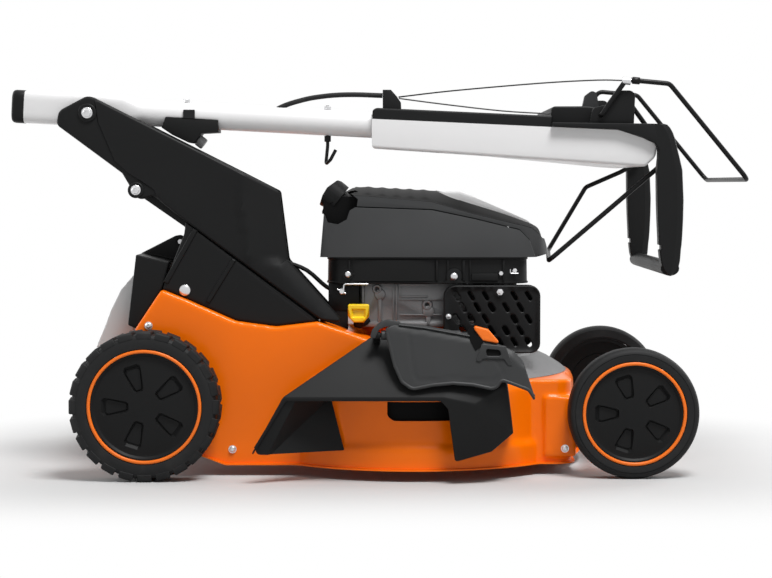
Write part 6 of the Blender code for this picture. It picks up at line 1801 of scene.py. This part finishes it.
class MOWER_OT_stage(bpy.types.Operator):
    """Set up the floor, the lamps, the room and the camera"""

    bl_idname = "mower.stage"
    bl_label = "Studio"

    def execute(self, context):
        studio = context.scene.mower_studio
        scene = context.scene
        scene.view_settings.view_transform = "Standard"

        floor_mesh = bmesh.new()
        for point in circle(14.0, 96):
            floor_mesh.verts.new((point[0], point[1], 0.0))
        floor_mesh.faces.new(floor_mesh.verts)
        mesh = bpy.data.meshes.new("floor")
        floor_mesh.to_mesh(mesh)
        floor_mesh.free()
        floor = bpy.data.objects.new("floor", mesh)
        scene.collection.objects.link(floor)
        material = bpy.data.materials.new("studio_floor")
        material.use_nodes = True
        tree = material.node_tree
        shader = tree.nodes["Principled BSDF"]
        shader.inputs["Roughness"].default_value = 0.7
        shader.inputs["Specular IOR Level"].default_value = 0.2
        start = Signal(tree)
        place = start.node("TexCoord", None, None, 3)
        speck = start.noise(place, 3.0, 4.0)
        base = speck.tint(shade(studio.floor, 0.99), shade(studio.floor, 1.01))
        tree.links.new(base.socket, shader.inputs["Base Color"])
        distance = start.node("VectorMath", {"operation": "LENGTH"}, {0: place}, 1)
        far = distance.rise(0.9, 2.6)
        # For camera rays the floor is grey close round the mower's footprint and turns to white glow within
        # about 0.4 m: a painted shadow halo, with the real cast shadow inside it.
        aside = start.node("VectorMath", {"operation": "ABSOLUTE"}, {0: place}, 0)
        aside = start.node("VectorMath", {"operation": "SUBTRACT"}, {0: aside, 1: (0.46, 0.27, 0.0)}, 0)
        aside = start.node("VectorMath", {"operation": "MAXIMUM"}, {0: aside, 1: (0.0, 0.0, 0.0)}, 0)
        shadow_halo = start.node("VectorMath", {"operation": "LENGTH"}, {0: aside}, 1).rise(0.06, 0.42)
        far = far + seen_rays(start) * shadow_halo * (1.0 - far)
        glow = start.node("Emission", None, {"Color": (1.0, 1.0, 1.0, 1.0), "Strength": 1.0})
        mixed = start.node("MixShader", None, {0: far, 1: Signal(tree, shader.outputs[0]), 2: glow})
        tree.links.new(mixed.socket, tree.nodes["Material Output"].inputs["Surface"])
        mesh.materials.append(material)

        world = bpy.data.worlds.new("studio_room")
        scene.world = world
        world.use_nodes = True
        tree = world.node_tree
        background = tree.nodes["Background"]
        start = Signal(tree)
        strength = seen_rays(start) * (1.0 - studio.sky) + studio.sky
        background.inputs["Color"].default_value = (1.0, 1.0, 1.0, 1.0)
        tree.links.new(strength.socket, background.inputs["Strength"])

        for name, power, size, place, aim in (
                ("key", studio.key, (1.5, 1.1), (0.9, -1.7, 3.6), (0.0, 0.0, 0.3)),
                ("top", studio.top, (3.0, 2.4), (0.2, 0.2, 3.0), (0.0, 0.0, 0.2)),
                ("rim_left", studio.rim * 1.6, (1.2, 2.4), (-2.7, 0.3, 1.5), (0.0, 0.0, 0.3)),
                ("rim_right", studio.rim * 1.6, (1.2, 2.4), (2.6, 1.4, 1.6), (0.0, 0.0, 0.3))):
            lamp = bpy.data.lights.new("studio_" + name, "AREA")
            lamp.shape = "RECTANGLE"
            lamp.size = size[0]
            lamp.size_y = size[1]
            lamp.energy = power
            item = bpy.data.objects.new("studio_" + name, lamp)
            item.location = place
            item.rotation_euler = (Vector(aim) - Vector(place)).to_track_quat("-Z", "Y").to_euler()
            scene.collection.objects.link(item)

        view = bpy.data.cameras.new("studio_camera")
        view.lens = studio.lens
        view.sensor_width = 36.0
        view.clip_end = 60.0
        camera = bpy.data.objects.new("studio_camera", view)
        camera.location = (0.01, MIDDLE - studio.camera_distance, studio.camera_height)
        camera.rotation_euler = (math.pi / 2 - studio.camera_pitch, 0.0, 0.0)
        scene.collection.objects.link(camera)
        scene.camera = camera
        return {"FINISHED"}


OPERATORS = (MOWER_OT_stage, MOWER_OT_finishes, MOWER_OT_wheels, MOWER_OT_deck, MOWER_OT_console,
             MOWER_OT_rear, MOWER_OT_guard, MOWER_OT_flap, MOWER_OT_hood, MOWER_OT_engine, MOWER_OT_muffler,
             MOWER_OT_handle, MOWER_OT_grip)


class MOWER_PT_panel(bpy.types.Panel):
    """The mower's sizes, colours and pieces"""

    bl_idname = "MOWER_PT_panel"
    bl_label = "Lawn mower"
    bl_space_type = "VIEW_3D"
    bl_region_type = "UI"
    bl_category = "Mower"

    def draw(self, context):
        for group in (context.scene.mower_colours, context.scene.mower_sizes, context.scene.mower_studio):
            box = self.layout.box()
            for key in group.__annotations__:
                box.prop(group, key)
        for operator in OPERATORS:
            self.layout.operator(operator.bl_idname)


CLASSES = (MowerColours, MowerSizes, MowerStudio) + OPERATORS + (MOWER_PT_panel,)


def register():
    for item in CLASSES:
        bpy.utils.register_class(item)
    bpy.types.Scene.mower_colours = bpy.props.PointerProperty(type=MowerColours)
    bpy.types.Scene.mower_sizes = bpy.props.PointerProperty(type=MowerSizes)
    bpy.types.Scene.mower_studio = bpy.props.PointerProperty(type=MowerStudio)


def unregister():
    del bpy.types.Scene.mower_studio
    del bpy.types.Scene.mower_sizes
    del bpy.types.Scene.mower_colours
    for item in reversed(CLASSES):
        bpy.utils.unregister_class(item)


def main():
    register()
    bpy.ops.mower.stage()
    bpy.ops.mower.finishes()
    bpy.ops.mower.wheels()
    bpy.ops.mower.deck()
    bpy.ops.mower.console()
    bpy.ops.mower.rear()
    bpy.ops.mower.guard()
    bpy.ops.mower.flap()
    bpy.ops.mower.hood()
    bpy.ops.mower.engine()
    bpy.ops.mower.muffler()
    bpy.ops.mower.handle()
    bpy.ops.mower.grip()


if __name__ == "__main__":
    main()
